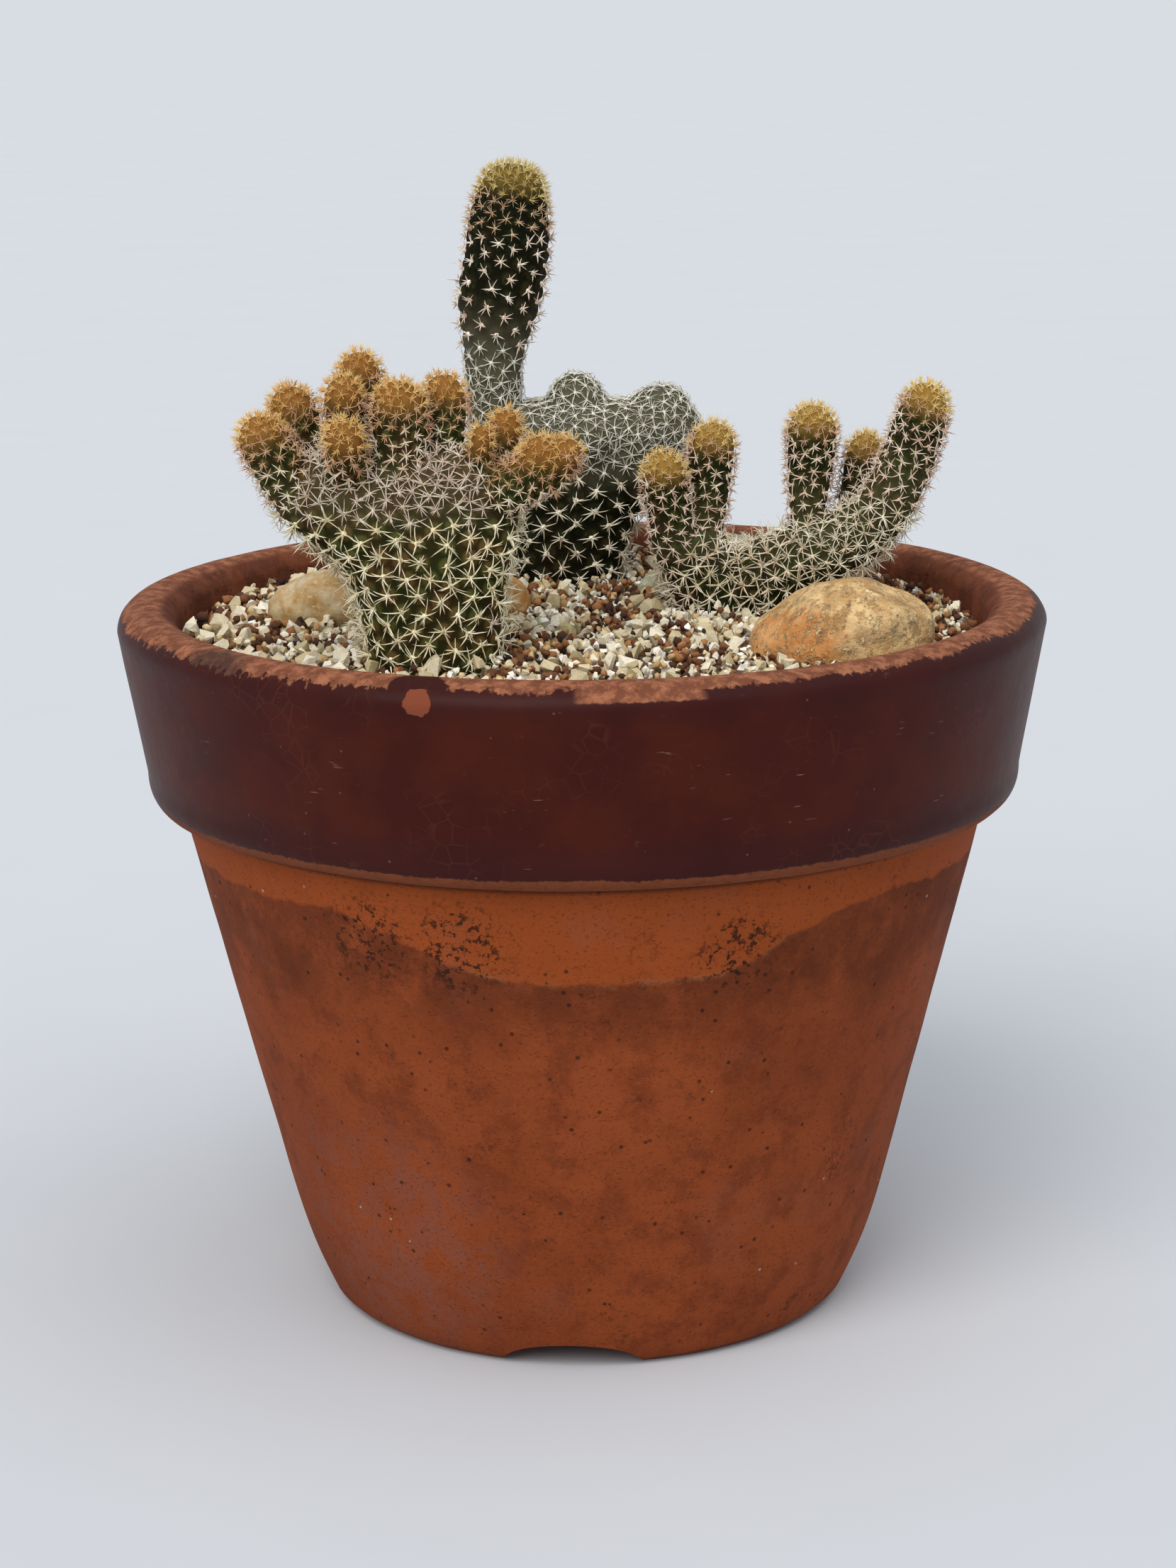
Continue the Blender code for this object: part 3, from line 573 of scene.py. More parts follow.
# %% [markdown]
# ## Stones
# A water-worn cobble is a smooth, banded lump; quartz breaks along flat faces and shows milky depth with
# rust in its seams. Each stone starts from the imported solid, so it sits right, and is made finer. Random planes
# slice the quartz like knapping: every point that stands past a plane is drawn back onto it. Noise then
# roughens what is left.

# %% Refine, knap and roughen
def copy_of(*nodes):
    """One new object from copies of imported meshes, with the split corners welded."""
    shape = bmesh.new()
    for node in nodes:
        shape.from_mesh(NODES[node].data)
    bmesh.ops.remove_doubles(shape, verts=shape.verts, dist=1e-6)
    mesh = bpy.data.meshes.new(nodes[0] + "_copy")
    shape.to_mesh(mesh)
    shape.free()
    return linked(bpy.data.objects.new(nodes[0] + "_copy", mesh))


def refine(obj, levels):
    finer = obj.modifiers.new("finer", "SUBSURF")
    finer.levels = finer.render_levels = levels
    return apply_modifiers(obj)


def knap(points, cuts, keep, rng):
    """Flattens a lump against random planes that stand at a share of its reach in their direction."""
    centre = points.mean(0)
    local = points - centre
    for _ in range(cuts):
        facing = rng.normal(size=3)
        facing /= np.linalg.norm(facing)
        along = local @ facing
        limit = along.max() * rng.uniform(keep, 0.97)
        local -= np.outer(np.maximum(along - limit, 0) * 0.96, facing)
    return centre + local


def make_stone(node, material, seed, levels, cuts, keep, lumps):
    rng = np.random.default_rng(seed)
    stone = refine(copy_of(node), levels)
    stone.name = node + "_worn"
    set_points(stone, knap(points_of(stone), cuts, keep, rng))
    wobble(stone, lumps)
    set_smooth(stone, True)
    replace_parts(dress(stone, material), node)


def quartz_finish(name, milk, vein, seam, seed):
    """Broken quartz: milky body, stained seams and a glassy but frosted skin."""
    bench = Bench(name)
    seams = bench.spots(0.16, 0.02, 3.4, "DISTANCE_TO_EDGE", seed=seed)
    stain = bench.patches(0.46, 0.66, 2.2, 5, 0.7, seed=seed + 5)
    body = bench.layered(milk, [
        (bench.patches(0.36, 0.64, 3.2, 4, 0.6, seed=seed), vein),
        (bench.highest(seams * 0.5, stain) * 0.85, seam),
        (bench.patches(0.6, 0.72, 0.8, 3, 0.7, seed=seed + 9) * 0.5, rgb(246, 240, 226)),
    ])
    frost = bench.cloud(0.5, 4, 0.7, seed=seed)
    return bench.paint(Base_Color=body, Roughness=0.26 + frost * 0.34, Normal=bench.bump(frost, 0.12),
                       Specular_IOR_Level=0.3)


cream = quartz_finish("cream_quartz", rgb(208, 190, 152), rgb(192, 161, 109), rgb(175, 123, 49), 1)
rust = quartz_finish("rust_quartz", rgb(199, 170, 118), rgb(175, 130, 71), rgb(165, 100, 31), 4)
green = quartz_finish("green_quartz", rgb(175, 179, 157), rgb(134, 136, 110), rgb(163, 148, 107), 8)
yellow = quartz_finish("yellow_quartz", rgb(184, 175, 127), rgb(154, 143, 85), rgb(175, 157, 109), 12)
print("quartz finishes made")

# %% The cobble's finish
cobble = Bench("worn_cobble")
bands = cobble.cloud(2.2, 4, 0.6, (0.35, 1, 1), 4)
low_left = cobble.distance_from((25.5, -24, 92))
rusty = cobble.ease(low_left + (cobble.cloud(3, 4, seed=3) - 0.5) * 9, 10.5, 5.5)
stained = cobble.patches(0.52, 0.64, 3.2, 5, 0.72, seed=23)
flakes = cobble.patches(0.55, 0.62, 1.5, 5, 0.75, (1, 1.6, 1), 25)
dots = cobble.spots(0.2, 0.1, 1.7) * cobble.patches(0.45, 0.6, 4, 2, seed=15)
warm = cobble.layered(rgb(232, 196, 138), [
    (cobble.patches(0.4, 0.6, 5, 5, 0.65), rgb(190, 146, 88)),
    (cobble.ease(bands, 0.5, 0.66) * 0.5, rgb(148, 112, 74)),
    (rusty * 0.6, rgb(200, 120, 46)),
    (stained * 0.7, rgb(150, 106, 58)),
    (flakes * 0.6, rgb(242, 216, 164)),
    (cobble.patches(0.6, 0.68, 2.6, 3, 0.6, seed=9) * 0.5, rgb(124, 122, 92)),
    (dots * 0.55, rgb(96, 76, 56)),
    (cobble.patches(0.6, 0.72, 1.0, 4, 0.7, seed=17) * 0.5, rgb(232, 208, 164)),
])
skin = cobble.cloud(0.6, 4, 0.7, seed=19)
relief = skin * 0.6 + bands * 0.8 + flakes * 0.5 - stained * 0.4 - dots * 0.3
cobble.paint(Base_Color=warm, Roughness=0.5 + skin * 0.3, Normal=cobble.bump(relief, 0.35))

# %% All nine stones
make_stone("tan_cobble", cobble.material, 3, 3, 8, 0.8, [(10, 1.3), (3, 0.3), (1.2, 0.1)])
PEBBLE_WEAR, STONE_WEAR = [(1.6, 0.16), (0.6, 0.06)], [(3.5, 0.4), (1.2, 0.14)]
STONES = [
    ("quartz_stone_left", cream, "cream_quartz", 5, 5, 0.93, [(4, 0.5), (1.3, 0.16)]),
    ("rust_stone", rust, "rust_quartz", 7, 9, 0.84, STONE_WEAR),
    ("pale_stone_back", green, "green_quartz", 9, 9, 0.84, STONE_WEAR),
    ("green_stone_middle", green, "green_quartz", 11, 9, 0.8, [(2.5, 0.25), (1, 0.1)]),
    ("pebble_green", green, "green_quartz", 13, 9, 0.7, PEBBLE_WEAR),
    ("pebble_yellow", yellow, "yellow_quartz", 15, 9, 0.7, PEBBLE_WEAR),
    ("pebble_pale", cream, "cream_quartz", 17, 9, 0.7, PEBBLE_WEAR),
    ("pebble_orange", rust, "rust_quartz", 19, 6, 0.85, PEBBLE_WEAR),
]
for node, material, slot, seed, cuts, keep, lumps in STONES:
    make_stone(node, material, seed, 3, cuts, keep, lumps)
print("stones", len(STONES) + 1)

# %% [markdown]
# ## Cactus skins
# Each plant is one living skin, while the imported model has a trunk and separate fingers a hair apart. The
# copies are swelled until they meet, remeshed with voxels into one body, smoothed, and drawn back. Areoles,
# the points that carry spines, grow from the base up, each in the lowest free place. The same rule placed on
# the mesh gives the crossing spirals of a real cactus. The skin then rises into a low bump under each one.

# %% One skin for each plant
PLANTS = {
    "left": ["left_trunk", *sorted(n for n in NODES if n.startswith(("left_finger", "left_bud")))],
    "middle": ["middle_trunk", "middle_tall_finger"],
    "right": ["right_trunk", *sorted(n for n in NODES if n.startswith("right_finger"))],
}


def swell(obj, amount):
    set_points(obj, points_of(obj) + normals_of(obj) * amount)


def fused_skin(plant, voxel=0.42 * MM, gap=0.34 * MM, settle=0.12 * MM):
    skin = copy_of(*PLANTS[plant])
    skin.name = plant + "_skin"
    refine(skin, 1)
    swell(skin, gap)
    remesh = skin.modifiers.new("fuse", "REMESH")
    remesh.mode, remesh.voxel_size = "VOXEL", voxel
    soften = skin.modifiers.new("soften", "SMOOTH")
    soften.factor, soften.iterations = 0.5, 12
    apply_modifiers(skin)
    swell(skin, -settle)
    return skin


skins = {plant: fused_skin(plant) for plant in PLANTS}
print("skins", {plant: len(skin.data.vertices) for plant, skin in skins.items()})

# %% Where each finger ends
def heads_of(plant):
    """For each finger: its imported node, its tip and its axis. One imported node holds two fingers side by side."""
    found = []
    for node in PLANTS[plant][1:]:
        points = points_of(NODES[node])
        parts = [points]
        if node == "left_finger_10":
            middle = (points[:, 0].min() * 0.5 + points[:, 0].max() * 0.5) + 1.2 * MM
            parts = [points[points[:, 0] < middle], points[points[:, 0] >= middle]]
        for part in parts:
            spread = part - part.mean(0)
            axis = np.linalg.svd(spread, full_matrices=False)[2][0] if len(parts) == 1 else np.array((0, 0, 1.0))
            axis = axis * np.sign(axis[2])
            tip = part[np.argmax(part @ axis)]
            found.append((node, tip, axis))
    return found


heads = {plant: heads_of(plant) for plant in PLANTS}
print("fingers", {plant: len(rows) for plant, rows in heads.items()})

# %% How far each point lies below the nearest tip, and how far apart areoles stand there
ON_TRUNK = 99.0


def depth_below_tip(plant, points):
    """Millimetres below the tip of the finger that a point belongs to; ON_TRUNK marks points of no finger."""
    depth = np.full(len(points), ON_TRUNK)
    for node, tip, axis in heads[plant]:
        tree = surface_tree(NODES[node].data)
        low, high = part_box(node)
        pad = 1.5 * MM
        inside = np.all((points > np.array(low) - pad) & (points < np.array(high) + pad), axis=1)
        for i in np.nonzero(inside)[0]:
            if tree.find_nearest(Vector(points[i]), 1.1 * MM)[0] is not None:
                depth[i] = min(depth[i], max(0.0, float((tip - points[i]) @ axis)) / MM)
    return depth


grit_low, grit_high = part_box("top_grit")
GRIT_RADIUS = (grit_high.x - grit_low.x) / 2
GRIT_BELOW_LIP, GRIT_CROWN, GRIT_TILT = 5.7 * MM, 0.8 * MM, 0.02
RIM_GRIT = POT_HEIGHT * MM - GRIT_BELOW_LIP


def grit_height(px, py):
    share = np.minimum(1.0, np.hypot(px, py) / GRIT_RADIUS)
    return RIM_GRIT + GRIT_CROWN * (1 - share**2) + GRIT_TILT * py


def crest_share(plant, points):
    """0 low on the trunk and 1 on its crown, where the newest spines mat together."""
    ground = grit_height(points[:, 0], points[:, 1])
    rise = (points[:, 2] - ground) / (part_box(PLANTS[plant][0])[1].z - ground)
    return {"left": smooth_step(rise, 0.62, 0.86), "middle": smooth_step(rise, 0.42, 0.66),
            "right": smooth_step(rise, 0.3, 0.85) * 0.75}[plant]


def spacing_at(plant, depth, crest):
    """Millimetres between areoles: wide on the old trunk, tight on the crown and at the growing tips."""
    low, crown = {"left": (2.45, 1.5), "middle": (2.9, 1.5), "right": (1.9, 1.4)}[plant]
    trunk = low + (crown - low) * crest
    if plant == "middle":
        finger = np.interp(depth, [0, 3, 9, 16, 26, 31], [0.95, 1.2, 1.8, 2.5, 2.5, 1.5])
    else:
        finger = np.interp(depth, [0, 2, 5, 9, 20], [0.85, 1.0, 1.35, 1.6, 1.8])
    return np.where(depth < ON_TRUNK, finger, trunk)


# %% Plant the areoles, then raise the skin under them
def grow_areoles(plant, skin, rng):
    points, normals = points_of(skin), normals_of(skin)
    depth, crest = depth_below_tip(plant, points), crest_share(plant, points)
    spacing = spacing_at(plant, depth, crest) * MM
    above = points[:, 2] > grit_height(points[:, 0], points[:, 1]) + 0.3 * MM
    order = np.argsort(points[:, 2] + rng.normal(0, 0.12 * MM, len(points)))
    free, chosen = above.copy(), []
    for i in order:
        if free[i]:
            chosen.append(i)
            gap = points - points[i]
            free &= (gap * gap).sum(1) > spacing[i] ** 2
    chosen = np.array(chosen)
    return points, normals, depth, crest, spacing, chosen


def raise_tubercles(skin, points, normals, spacing, depth, chosen):
    """Lifts the skin round each areole and sinks it between them."""
    tree = kdtree.KDTree(len(chosen))
    for row, i in enumerate(chosen):
        tree.insert(points[i], row)
    tree.balance()
    gap = np.array([tree.find(Vector(p))[2] for p in points]) / spacing
    height = np.interp(spacing / MM, [0.8, 1.4, 3.0], [0.05, 0.16, 0.45]) * MM
    dome = 1 - smooth_step(gap, 0.08, 0.62)
    below = points[:, 2] < grit_height(points[:, 0], points[:, 1]) - 1 * MM
    set_points(skin, points + normals * (np.where(below, 0, height * (dome - 0.45)))[:, None])
    # how far each point lies in a groove is kept for the paint, which darkens the grooves as painted shade
    store(skin, "valley", 1 - dome)
    store(skin, "tip_depth", depth)


areoles = {}
for number, (plant, skin) in enumerate(skins.items()):
    rng = np.random.default_rng(40 + number)
    points, normals, depth, crest, spacing, chosen = grow_areoles(plant, skin, rng)
    raise_tubercles(skin, points, normals, spacing, depth, chosen)
    finger_end = (17, 29) if plant == "middle" else (7, 14)
    store(skin, "crest", crest * smooth_step(depth, *finger_end))
    moved = points_of(skin)
    areoles[plant] = dict(place=moved[chosen], facing=normals[chosen], depth=depth[chosen],
                          crest=crest[chosen], spacing=spacing[chosen] / MM)
print("areoles", {plant: len(rows["place"]) for plant, rows in areoles.items()})

# %% [markdown]
# ## Skin finish
# Old skin is dark olive and corky brown in patches; painted shade makes the grooves nearly black. Young skin at
# the tips is yellow-green under gold spines. The depth below the tip was stored on the mesh, so the paint can follow
# it.

# %% Skin material
def skin_finish(name, old, cork, young, crown):
    bench = Bench(name)
    patch = bench.cloud(4.5, 4, 0.65, seed=2)
    colour = bench.layered(old, [
        (bench.ease(patch, 0.42, 0.64), cork),
        (bench.patches(0.5, 0.7, 0.8, 4, 0.7, seed=5) * 0.35, rgb(80, 86, 48)),
        # painted shade: the grooves between tubercles are darkened nearly to black
        (bench.ease(bench.attribute("valley"), 0.45, 1.0) * 0.75, rgb(15, 14, 7)),
        (bench.attribute("crest") * 0.6, crown),
        (bench.ease(bench.attribute("tip_depth"), 5, 1.5), young),
    ])
    pores = bench.cloud(0.3, 3, 0.7, seed=9)
    return bench.paint(Base_Color=colour, Roughness=0.55 + pores * 0.25, Normal=bench.bump(pores, 0.07),
                       Specular_IOR_Level=0.04)


SKIN_COLOURS = {
    "left": (rgb(76, 80, 38), rgb(102, 76, 42), rgb(140, 96, 46), rgb(96, 82, 56)),
    "middle": (rgb(30, 33, 16), rgb(46, 38, 20), rgb(112, 92, 42), rgb(112, 108, 86)),
    "right": (rgb(58, 66, 28), rgb(72, 54, 32), rgb(148, 114, 54), rgb(88, 84, 54)),
}
for plant, skin in skins.items():
    set_smooth(skin, True)
    material = skin_finish(plant + "_cactus_skin", *SKIN_COLOURS[plant])
    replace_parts(dress(skin, material), *PLANTS[plant])

# %% [markdown]
# ## Spines
# Every spine is a real tapered, slightly curved shaft with three sides, made as a mesh rather than as hair
# curves. Hair curves would be quicker, but they leave the model when it is exported. All the spines of one
# kind on one plant are built at once with numpy: an array of bases and directions makes an array of rings.
# Stars on the trunk lie flat; those on the crown are long and tangled; at the tips they are short, gold and
# upright. A felt pad sits in each centre.

# %% Build spines from arrays
def across(facing):
    """A direction square to each given one."""
    helper = np.where(np.abs(facing[:, 2:3]) > 0.9, (1.0, 0, 0), (0, 0, 1.0))
    return unit(np.cross(facing, helper))


def repeated(rows, triangles):
    """Copies of one small shape. Each row holds one corner of every copy; triangles number one copy's corners."""
    points = np.stack(rows, 1)
    first = np.arange(len(points)) * len(rows)
    return points.reshape(-1, 3), (np.array(triangles)[None] + first[:, None, None]).reshape(-1, 3)


def spine_mesh(base, facing, turn, lean, bend, length, girth, rng):
    """Shafts from base points: lean is the first angle from the skin's normal and bend is added by the tip."""
    steps, side = 3, across(facing)
    out = side * np.cos(turn)[:, None] + np.cross(facing, side) * np.sin(turn)[:, None]
    place, rings = base.copy(), []
    twist = rng.normal(0, 0.22, (len(base), 3))
    for step in range(steps):
        angle = (lean + bend * step / steps)[:, None]
        heading = unit(facing * np.cos(angle) + out * np.sin(angle) + twist * step / steps)
        u = unit(np.cross(heading, facing + 0.01 * side))
        v = np.cross(heading, u)
        width = (girth * (1.0, 0.86, 0.58)[step])[:, None]
        rings += [place + width * (u * math.cos(a) + v * math.sin(a)) for a in (0.5, 2.594, 4.689)]
        place = place + heading * (length / steps)[:, None]
    local = [(3 * s + k, 3 * s + (k + 1) % 3, 3 * s + 3 + (k + 1) % 3, 3 * s + 3 + k)
             for s in range(steps - 1) for k in range(3)]
    triangles = [t for a, b, c, d in local for t in ((a, b, c), (a, c, d))]
    triangles += [(6 + k, 6 + (k + 1) % 3, 9) for k in range(3)]
    return repeated([*rings, place], triangles)


def felt_pads(place, facing, size):
    """A low six-sided dome at each areole."""
    side = across(facing)
    other, rings, triangles = np.cross(facing, side), [], []
    for share, rise in ((1.0, -0.25), (0.75, 0.35)):
        for k in range(6):
            a = k * math.tau / 6
            spoke = side * math.cos(a) * share + other * math.sin(a) * share + facing * rise
            rings.append(place + size[:, None] * spoke)
    for k in range(6):
        after = (k + 1) % 6
        triangles += [(k, after, 6 + after), (k, 6 + after, 6 + k), (6 + k, 6 + after, 12)]
    return repeated([*rings, place + facing * size[:, None] * 0.6], triangles)


# %% The kinds of spine
# Length, lean and bend are a mean and a spread, in millimetres and degrees. Girth is half a shaft's width at its
# base, in millimetres, and pad is a share of the distance between areoles.
KINDS = {
    "star": dict(radials=8, centrals=3, length=(2.1, 0.65), lean=(64, 18), bend=(40, 32), girth=0.125, pad=0.17),
    "bead": dict(radials=7, centrals=1, length=(1.25, 0.28), lean=(60, 12), bend=(14, 14), girth=0.115, pad=0.16),
    "mat": dict(radials=9, centrals=3, length=(1.9, 0.65), lean=(60, 20), bend=(46, 36), girth=0.1, pad=0.15),
    "net": dict(radials=9, centrals=0, length=(1.55, 0.35), lean=(81, 6), bend=(8, 8), girth=0.09, pad=0.17),
    "blush": dict(radials=8, centrals=3, length=(1.25, 0.25), lean=(54, 14), bend=(12, 14), girth=0.07, pad=0.14),
    "gold": dict(radials=8, centrals=5, length=(1.2, 0.26), lean=(44, 16), bend=(6, 14), girth=0.06, pad=0.14),
}


def grow_spines(name, rows, kind, scale, rng):
    look, count = KINDS[kind], len(rows["place"])
    each = look["radials"] + look["centrals"]
    index = np.repeat(np.arange(count), each)
    slot_number = np.tile(np.arange(each), count)
    central = slot_number >= look["radials"]
    turn = slot_number * math.tau / look["radials"] + np.repeat(rng.uniform(0, math.tau, count), each)
    shafts = len(turn)
    turn = turn + rng.normal(0, 0.3, shafts)
    lean = np.radians(np.where(central, rng.uniform(4, 30, shafts), rng.normal(*look["lean"], shafts)))
    bend = np.radians(rng.normal(*look["bend"], shafts))
    mean = look["length"][0]
    length = np.clip(rng.normal(*look["length"], shafts), 0.5 * mean, 1.45 * mean) * scale[index] * MM
    girth = look["girth"] * MM * rng.uniform(0.8, 1.15, shafts)
    facing = rows["facing"][index]
    base = rows["place"][index] + facing * 0.05 * MM
    points, faces = spine_mesh(base, facing, turn, lean, bend, length, girth, rng)
    size = np.clip(rows["spacing"] * look["pad"], 0.15, 0.6) * MM
    pads, pad_faces = felt_pads(rows["place"], rows["facing"], size)
    return mesh_object(name, np.concatenate([points, pads]), np.concatenate([faces, pad_faces + len(points)]))


# %% Spine finishes
def spine_finish(name, main, other, fleck):
    bench = Bench(name)
    colour = bench.layered(main, [
        (bench.patches(0.38, 0.62, 2.6, 3, 0.6), other),
        (bench.patches(0.54, 0.68, 0.9, 3, 0.7, seed=6) * 0.7, fleck),
    ])
    return bench.paint(Base_Color=colour, Roughness=0.62 + bench.cloud(0.5) * 0.2, Specular_IOR_Level=0.2)


SPINES = {
    "star": {"left": (rgb(252, 244, 214), rgb(240, 226, 188), rgb(255, 253, 240)),
             "middle": (rgb(244, 236, 216), rgb(224, 210, 186), rgb(250, 246, 234)),
             "right": (rgb(246, 236, 212), rgb(230, 212, 184), rgb(252, 248, 236))},
    "bead": {"left": (rgb(246, 234, 210), rgb(230, 202, 174), rgb(252, 246, 232)),
             "middle": (rgb(248, 236, 220), rgb(232, 208, 188), rgb(253, 247, 236)),
             "right": (rgb(246, 228, 208), rgb(228, 198, 176), rgb(251, 242, 226))},
    "mat": {"left": (rgb(244, 232, 214), rgb(224, 202, 184), rgb(251, 245, 232)),
            "right": (rgb(250, 242, 220), rgb(236, 220, 192), rgb(254, 250, 238))},
    "net": {"middle": (rgb(236, 233, 220), rgb(212, 206, 190), rgb(248, 247, 240))},
    "blush": {"left": (rgb(232, 192, 152), rgb(212, 164, 126), rgb(242, 218, 184)),
              "middle": (rgb(232, 202, 166), rgb(214, 174, 140), rgb(244, 228, 198)),
              "right": (rgb(234, 202, 168), rgb(216, 172, 140), rgb(244, 226, 196))},
    "gold": {"left": (rgb(244, 208, 136), rgb(230, 182, 110), rgb(250, 230, 176)),
             "middle": (rgb(230, 210, 140), rgb(218, 188, 118), rgb(243, 232, 180)),
             "right": (rgb(246, 220, 150), rgb(234, 196, 126), rgb(252, 239, 190))},
}

# %% Sort the areoles into kinds and grow their spines
BANDS = {"left": (2.9, 5.8), "middle": (4.6, 9.5), "right": (2.5, 4.6)}
ORDER = ("star", "bead", "mat", "net", "blush", "gold")


def kinds_for(plant, rows, rng):
    """Which kind each areole carries: by depth below a tip on the fingers, by height on the trunk."""
    fray = rng.normal(0, 1.0, len(rows["depth"]))
    depth = rows["depth"] + fray * 0.55
    gold_end, blush_end = BANDS[plant]
    woven = "net" if plant == "middle" else "mat"
    finger_end = 26 if plant == "middle" else 16
    finger = np.select([depth < gold_end, depth < blush_end, depth < finger_end], ["gold", "blush", "bead"], woven)
    trunk = np.where(rows["crest"] + fray * 0.1 > (0.3 if plant == "left" else 0.45), woven, "star")
    return np.where(rows["depth"] < ON_TRUNK, finger, trunk)


total = 0
for number, (plant, rows) in enumerate(areoles.items()):
    rng = np.random.default_rng(80 + number)
    carried = kinds_for(plant, rows, rng)
    for kind in ORDER:
        mine = carried == kind
        if not mine.any():
            continue
        part = {key: values[mine] for key, values in rows.items()}
        scale = np.interp(part["spacing"], [0.7, 1.3, 3.0], [0.85, 1.0, 1.05])
        if plant == "middle" and kind == "star":
            scale = scale * 0.85
        tuft = grow_spines(f"{plant}_{kind}_spines", part, kind, scale, rng)
        slot = "cactus_finger" if kind in ("gold", "blush") else "cactus_trunk"
        dress(tuft, spine_finish(f"{plant}_{kind}_spine", *SPINES[kind][plant]))
        total += len(tuft.data.polygons)
        print(tuft.name, int(mine.sum()), "areoles", len(tuft.data.polygons), "faces")
print("spine faces", total)

# %% [markdown]
# ## Loose grit
# The top dressing is a mix of white pumice, fired brown granules, tan grains, dark bits and chips of quartz, most
# of them one to three millimetres across. A few dozen random convex lumps are made once and reused, turned and
# stretched differently each time. They are dropped one by one on a height map of the surface: each takes the
# lowest of a few random places, and the map rises under it. That packs them as poured grains pack.

# %% Templates for the grains
def lump_templates(count, corners, rng):
    made = []
    for _ in range(count):
        shape = bmesh.new()
        directions = unit(rng.normal(size=(corners, 3)))
        for d in directions * rng.uniform(0.8, 1.0, (corners, 1)):
            shape.verts.new(d)
        bmesh.ops.convex_hull(shape, input=shape.verts)
        loose = [v for v in shape.verts if not v.link_faces]
        bmesh.ops.delete(shape, geom=loose, context="VERTS")
        bmesh.ops.triangulate(shape, faces=shape.faces)
        bmesh.ops.recalc_face_normals(shape, faces=shape.faces)
        shape.verts.index_update()
        triangles = np.array([[v.index for v in f.verts] for f in shape.faces])
        made.append((np.array([v.co for v in shape.verts]), triangles))
        shape.free()
    return made


rng = np.random.default_rng(7)
ANGULAR, ROUNDED = lump_templates(24, 10, rng), lump_templates(24, 18, rng)

# %% Drop the grains
# kind: share of the mix, half size from and to in millimetres, templates
GRAINS = {
    "pumice": (0.4, 0.5, 1.45, ANGULAR),
    "granule": (0.31, 0.55, 1.4, ROUNDED),
    "tan_grain": (0.1, 0.5, 1.3, ROUNDED),
    "dark_bit": (0.08, 0.4, 0.95, ANGULAR),
    "quartz_chip": (0.11, 0.8, 2.3, ANGULAR),
}
CELL, SINK, TRIES = 0.35 * MM, 0.25 * MM, 5


def drop_grains(count, rng):
    """Places and sizes for the grains: rows of (x, y, z, half size, kind)."""
    side = int(2 * GRIT_RADIUS / CELL) + 8
    pile = np.zeros((side, side))
    names, shares = list(GRAINS), np.array([GRAINS[k][0] for k in GRAINS])
    rows = []
    sizes = np.sort(rng.uniform(0, 1, count) ** 1.7)[::-1] * 0.85 + rng.uniform(0, 0.15, count)
    for size_share in sizes:
        tries = []
        for _ in range(TRIES):
            r, a = (GRIT_RADIUS - 0.5 * MM) * math.sqrt(rng.uniform()), rng.uniform(0, math.tau)
            px, py = r * math.cos(a), r * math.sin(a)
            i, j = int((px + GRIT_RADIUS) / CELL) + 4, int((py + GRIT_RADIUS) / CELL) + 4
            tries.append((pile[i, j], px, py, i, j))
        px, py, i, j = min(tries)[1:]
        patch = noise.noise(Vector((px, py, 0)) / (13 * MM)), noise.noise(Vector((px, py, 1)) / (5 * MM))
        wall = smooth_step(np.array(math.hypot(px, py) / GRIT_RADIUS), 0.72, 1.0)
        brown = 1.0 + 3.0 * patch[0] + 3.4 * patch[1] + (1.3 * float(wall) if py > -0.2 * GRIT_RADIUS else -0.3)
        chance = shares * (1.0, max(0.15, brown), 1.0, max(0.2, brown), 1.0 if size_share > 0.25 else 0.2)
        kind = int(rng.choice(len(names), p=chance / chance.sum()))
        low, high = GRAINS[names[kind]][1:3]
        half = (low + (high - low) * size_share) * MM
        reach = max(1, int(half / CELL))
        window = pile[i - reach:i + reach + 1, j - reach:j + reach + 1]
        rest = float(window.mean())
        rows.append((px, py, rest + half * 0.45, half, kind))
        window[:] = np.maximum(window, rest + half * 0.95)
    return np.array(rows)


grains = drop_grains(5000, np.random.default_rng(11))
grains[:, 2] += grit_height(grains[:, 0], grains[:, 1]) - SINK
print("grains dropped", len(grains), "highest", round(float(grains[:, 2].max()) / MM, 1))

# %% Keep the grains out of the plants and the stones
def inside_test():
    """A function that tells whether a grain would sit in a plant or a stone."""
    solid = [obj for obj in bpy.data.objects if obj.name.endswith(("_skin", "_worn")) and obj.type == "MESH"]
    trees = [surface_tree(obj.data) for obj in solid]

    def blocked(place, half):
        for tree in trees:
            hit, normal = tree.find_nearest(Vector(place), 6 * MM)[:2]
            if hit is not None and (Vector(place) - hit).dot(normal) < 0.25 * half:
                return True
        return False

    return blocked


blocked = inside_test()
kept = np.array([not blocked(row[:3], row[3]) for row in grains])
grains = grains[kept]
print("grains kept", len(grains))

# %% Build the grain meshes
def random_turns(count, rng):
    """Rotation matrices from random quaternions."""
    w, a, b, c = rng.normal(size=(4, count))
    size = np.sqrt(w * w + a * a + b * b + c * c)
    w, a, b, c = w / size, a / size, b / size, c / size
    return np.stack([1 - 2 * (b * b + c * c), 2 * (a * b - c * w), 2 * (a * c + b * w),
                     2 * (a * b + c * w), 1 - 2 * (a * a + c * c), 2 * (b * c - a * w),
                     2 * (a * c - b * w), 2 * (b * c + a * w), 1 - 2 * (a * a + b * b)], 1).reshape(-1, 3, 3)


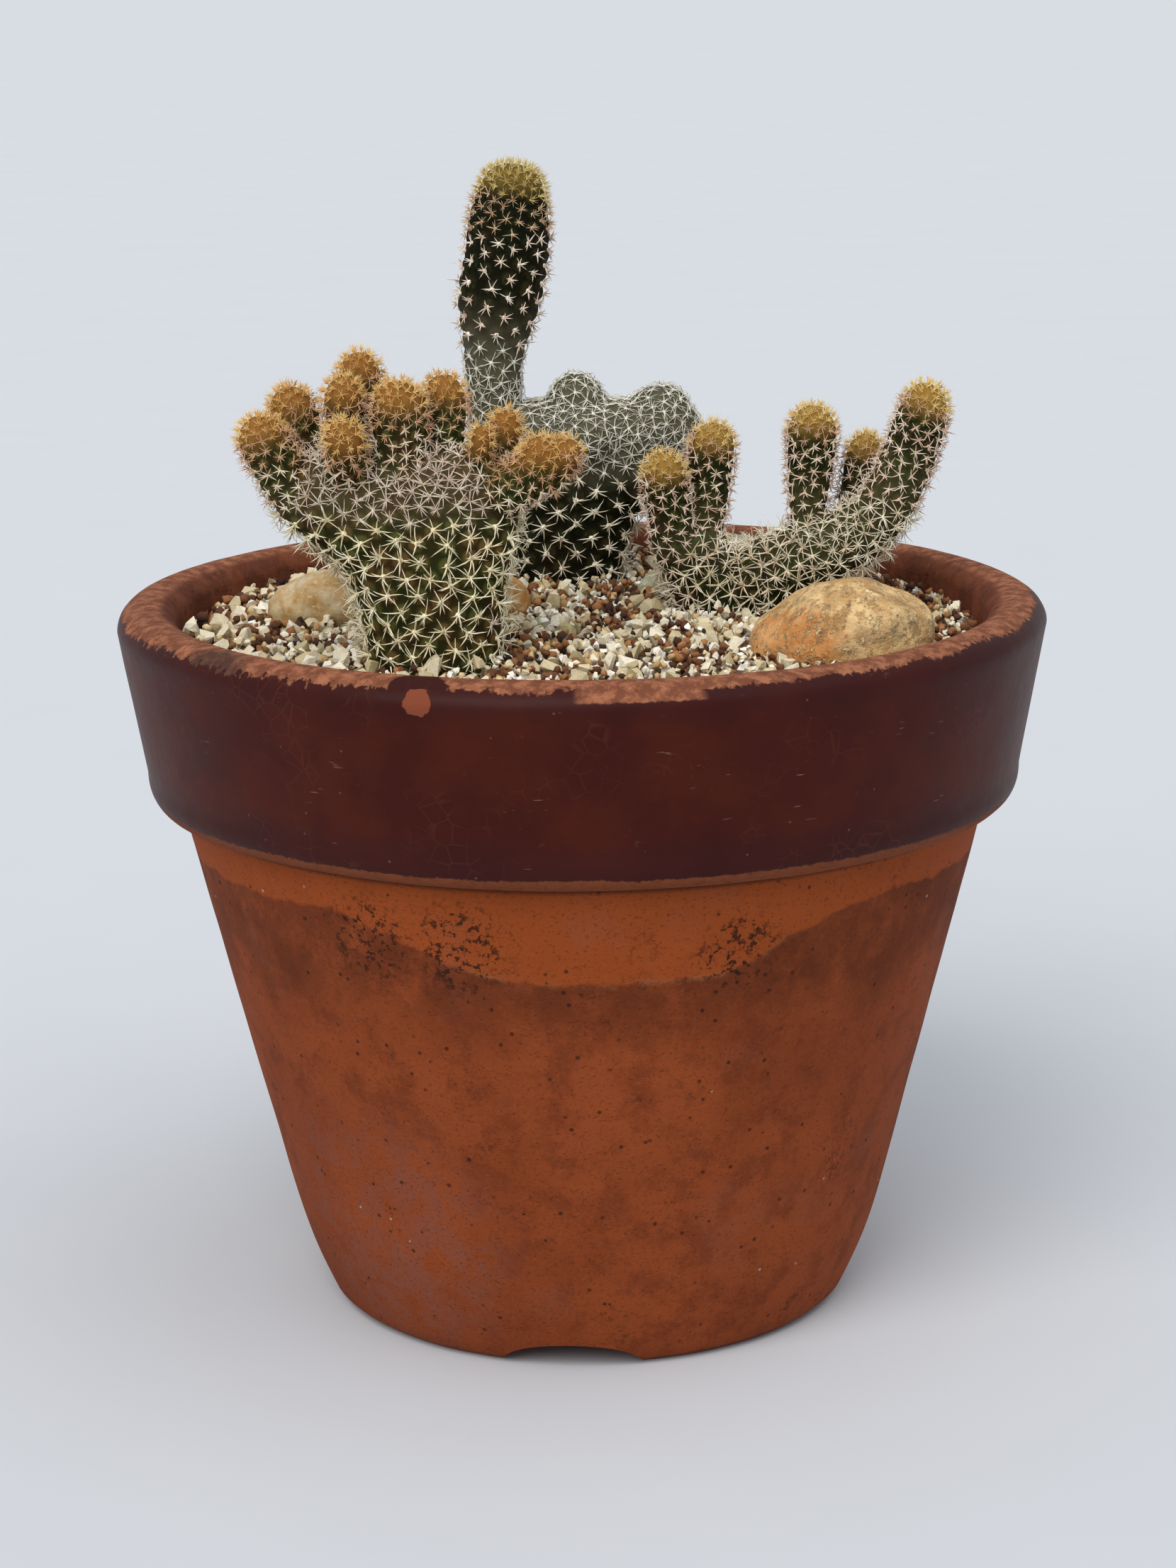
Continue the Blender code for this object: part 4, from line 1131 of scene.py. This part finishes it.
def grain_object(name, rows, templates, smooth, rng):
    points, faces, shade, start = [], [], [], 0
    turns = random_turns(len(rows), rng)
    for row, turn in zip(rows, turns):
        corners, triangles = templates[rng.integers(len(templates))]
        stretch = np.array((1.0, rng.uniform(0.72, 1.0), rng.uniform(0.55, 0.9)))
        points.append((corners * stretch) @ turn.T * row[3] + row[:3])
        faces.append(triangles + start)
        shade.append(np.full(len(corners), rng.uniform()))
        start += len(corners)
    obj = mesh_object(name, np.concatenate(points), np.concatenate(faces), smooth)
    store(obj, "shade", np.concatenate(shade))
    return obj


def grain_finish(name, dark, middle, light, rough):
    """One colour for each grain, drawn from a ramp by its stored number, and a speckle over it."""
    bench = Bench(name)
    ramp = {"stops": [(0.0, dark), (0.5, middle), (1.0, light)]}
    colour = bench.node("ValToRGB", ramp, {"Fac": bench.attribute("shade")})
    speckle = bench.cloud(0.35, 3, 0.7)
    colour = bench.mix(bench.ease(speckle, 0.5, 0.7) * 0.35, colour, dark)
    return bench.paint(Base_Color=colour, Roughness=rough + speckle * 0.15, Normal=bench.bump(speckle, 0.12))


FINISHES = {
    "pumice": (rgb(206, 186, 146), rgb(243, 232, 206), rgb(254, 250, 240), 0.82),
    "granule": (rgb(52, 26, 14), rgb(112, 66, 34), rgb(180, 122, 72), 0.8),
    "tan_grain": (rgb(170, 132, 82), rgb(206, 170, 116), rgb(232, 206, 158), 0.75),
    "dark_bit": (rgb(14, 10, 8), rgb(34, 23, 16), rgb(74, 50, 34), 0.75),
    "quartz_chip": (rgb(186, 168, 124), rgb(222, 206, 168), rgb(244, 236, 214), 0.3),
}
rng = np.random.default_rng(23)
for code, name in enumerate(GRAINS):
    rows = grains[grains[:, 4] == code]
    heap = grain_object(name + "s", rows, GRAINS[name][3], GRAINS[name][3] is ROUNDED, rng)
    dress(heap, grain_finish(name, *FINISHES[name]))
    print(heap.name, len(rows), "grains", len(heap.data.polygons), "faces")

# %% [markdown]
# ## Floor and light
# A broad pale disc is the floor, wide enough to fill the view behind the pot. The sky lights everything evenly,
# as a bright room does. Two broad suns, one from the front left and one from above, add soft direction.

# %% Floor, sky and suns
paper = Bench("pale_floor")
pale = paper.mix(paper.cloud(40, 3, 0.5), rgb(205, 208, 213), rgb(210, 212, 216))
paper.paint(Base_Color=pale, Roughness=0.95, Specular_IOR_Level=0.0)
floor = turned_mesh("floor", [(0.001, -0.3), (15000, -0.3), (15000, -0.9), (0.001, -0.9)], 96)
set_smooth(floor, False)
floor.data.materials.append(paper.material)

sky = bpy.data.worlds.new("pale_room")
sky.use_nodes = True
background = sky.node_tree.nodes["Background"].inputs
background["Color"].default_value = (0.9, 0.95, 1.0, 1.0)
background["Strength"].default_value = 0.58
bpy.context.scene.world = sky


def sun(name, toward, strength, spread, colour):
    """Parallel soft light: its spread is how wide the bright patch of sky looks, in degrees."""
    light = bpy.data.lights.new(name, "SUN")
    light.energy, light.angle, light.color = strength, math.radians(spread), colour
    obj = linked(bpy.data.objects.new(name, light))
    obj.rotation_euler = Vector(toward).to_track_quat("Z", "Y").to_euler()


sun("window", (-0.36, -0.8, 0.8), 1.75, 40, (1.0, 0.98, 0.95))
sun("ceiling", (0.3, -0.35, 1.0), 0.7, 60, (0.98, 0.99, 1.0))
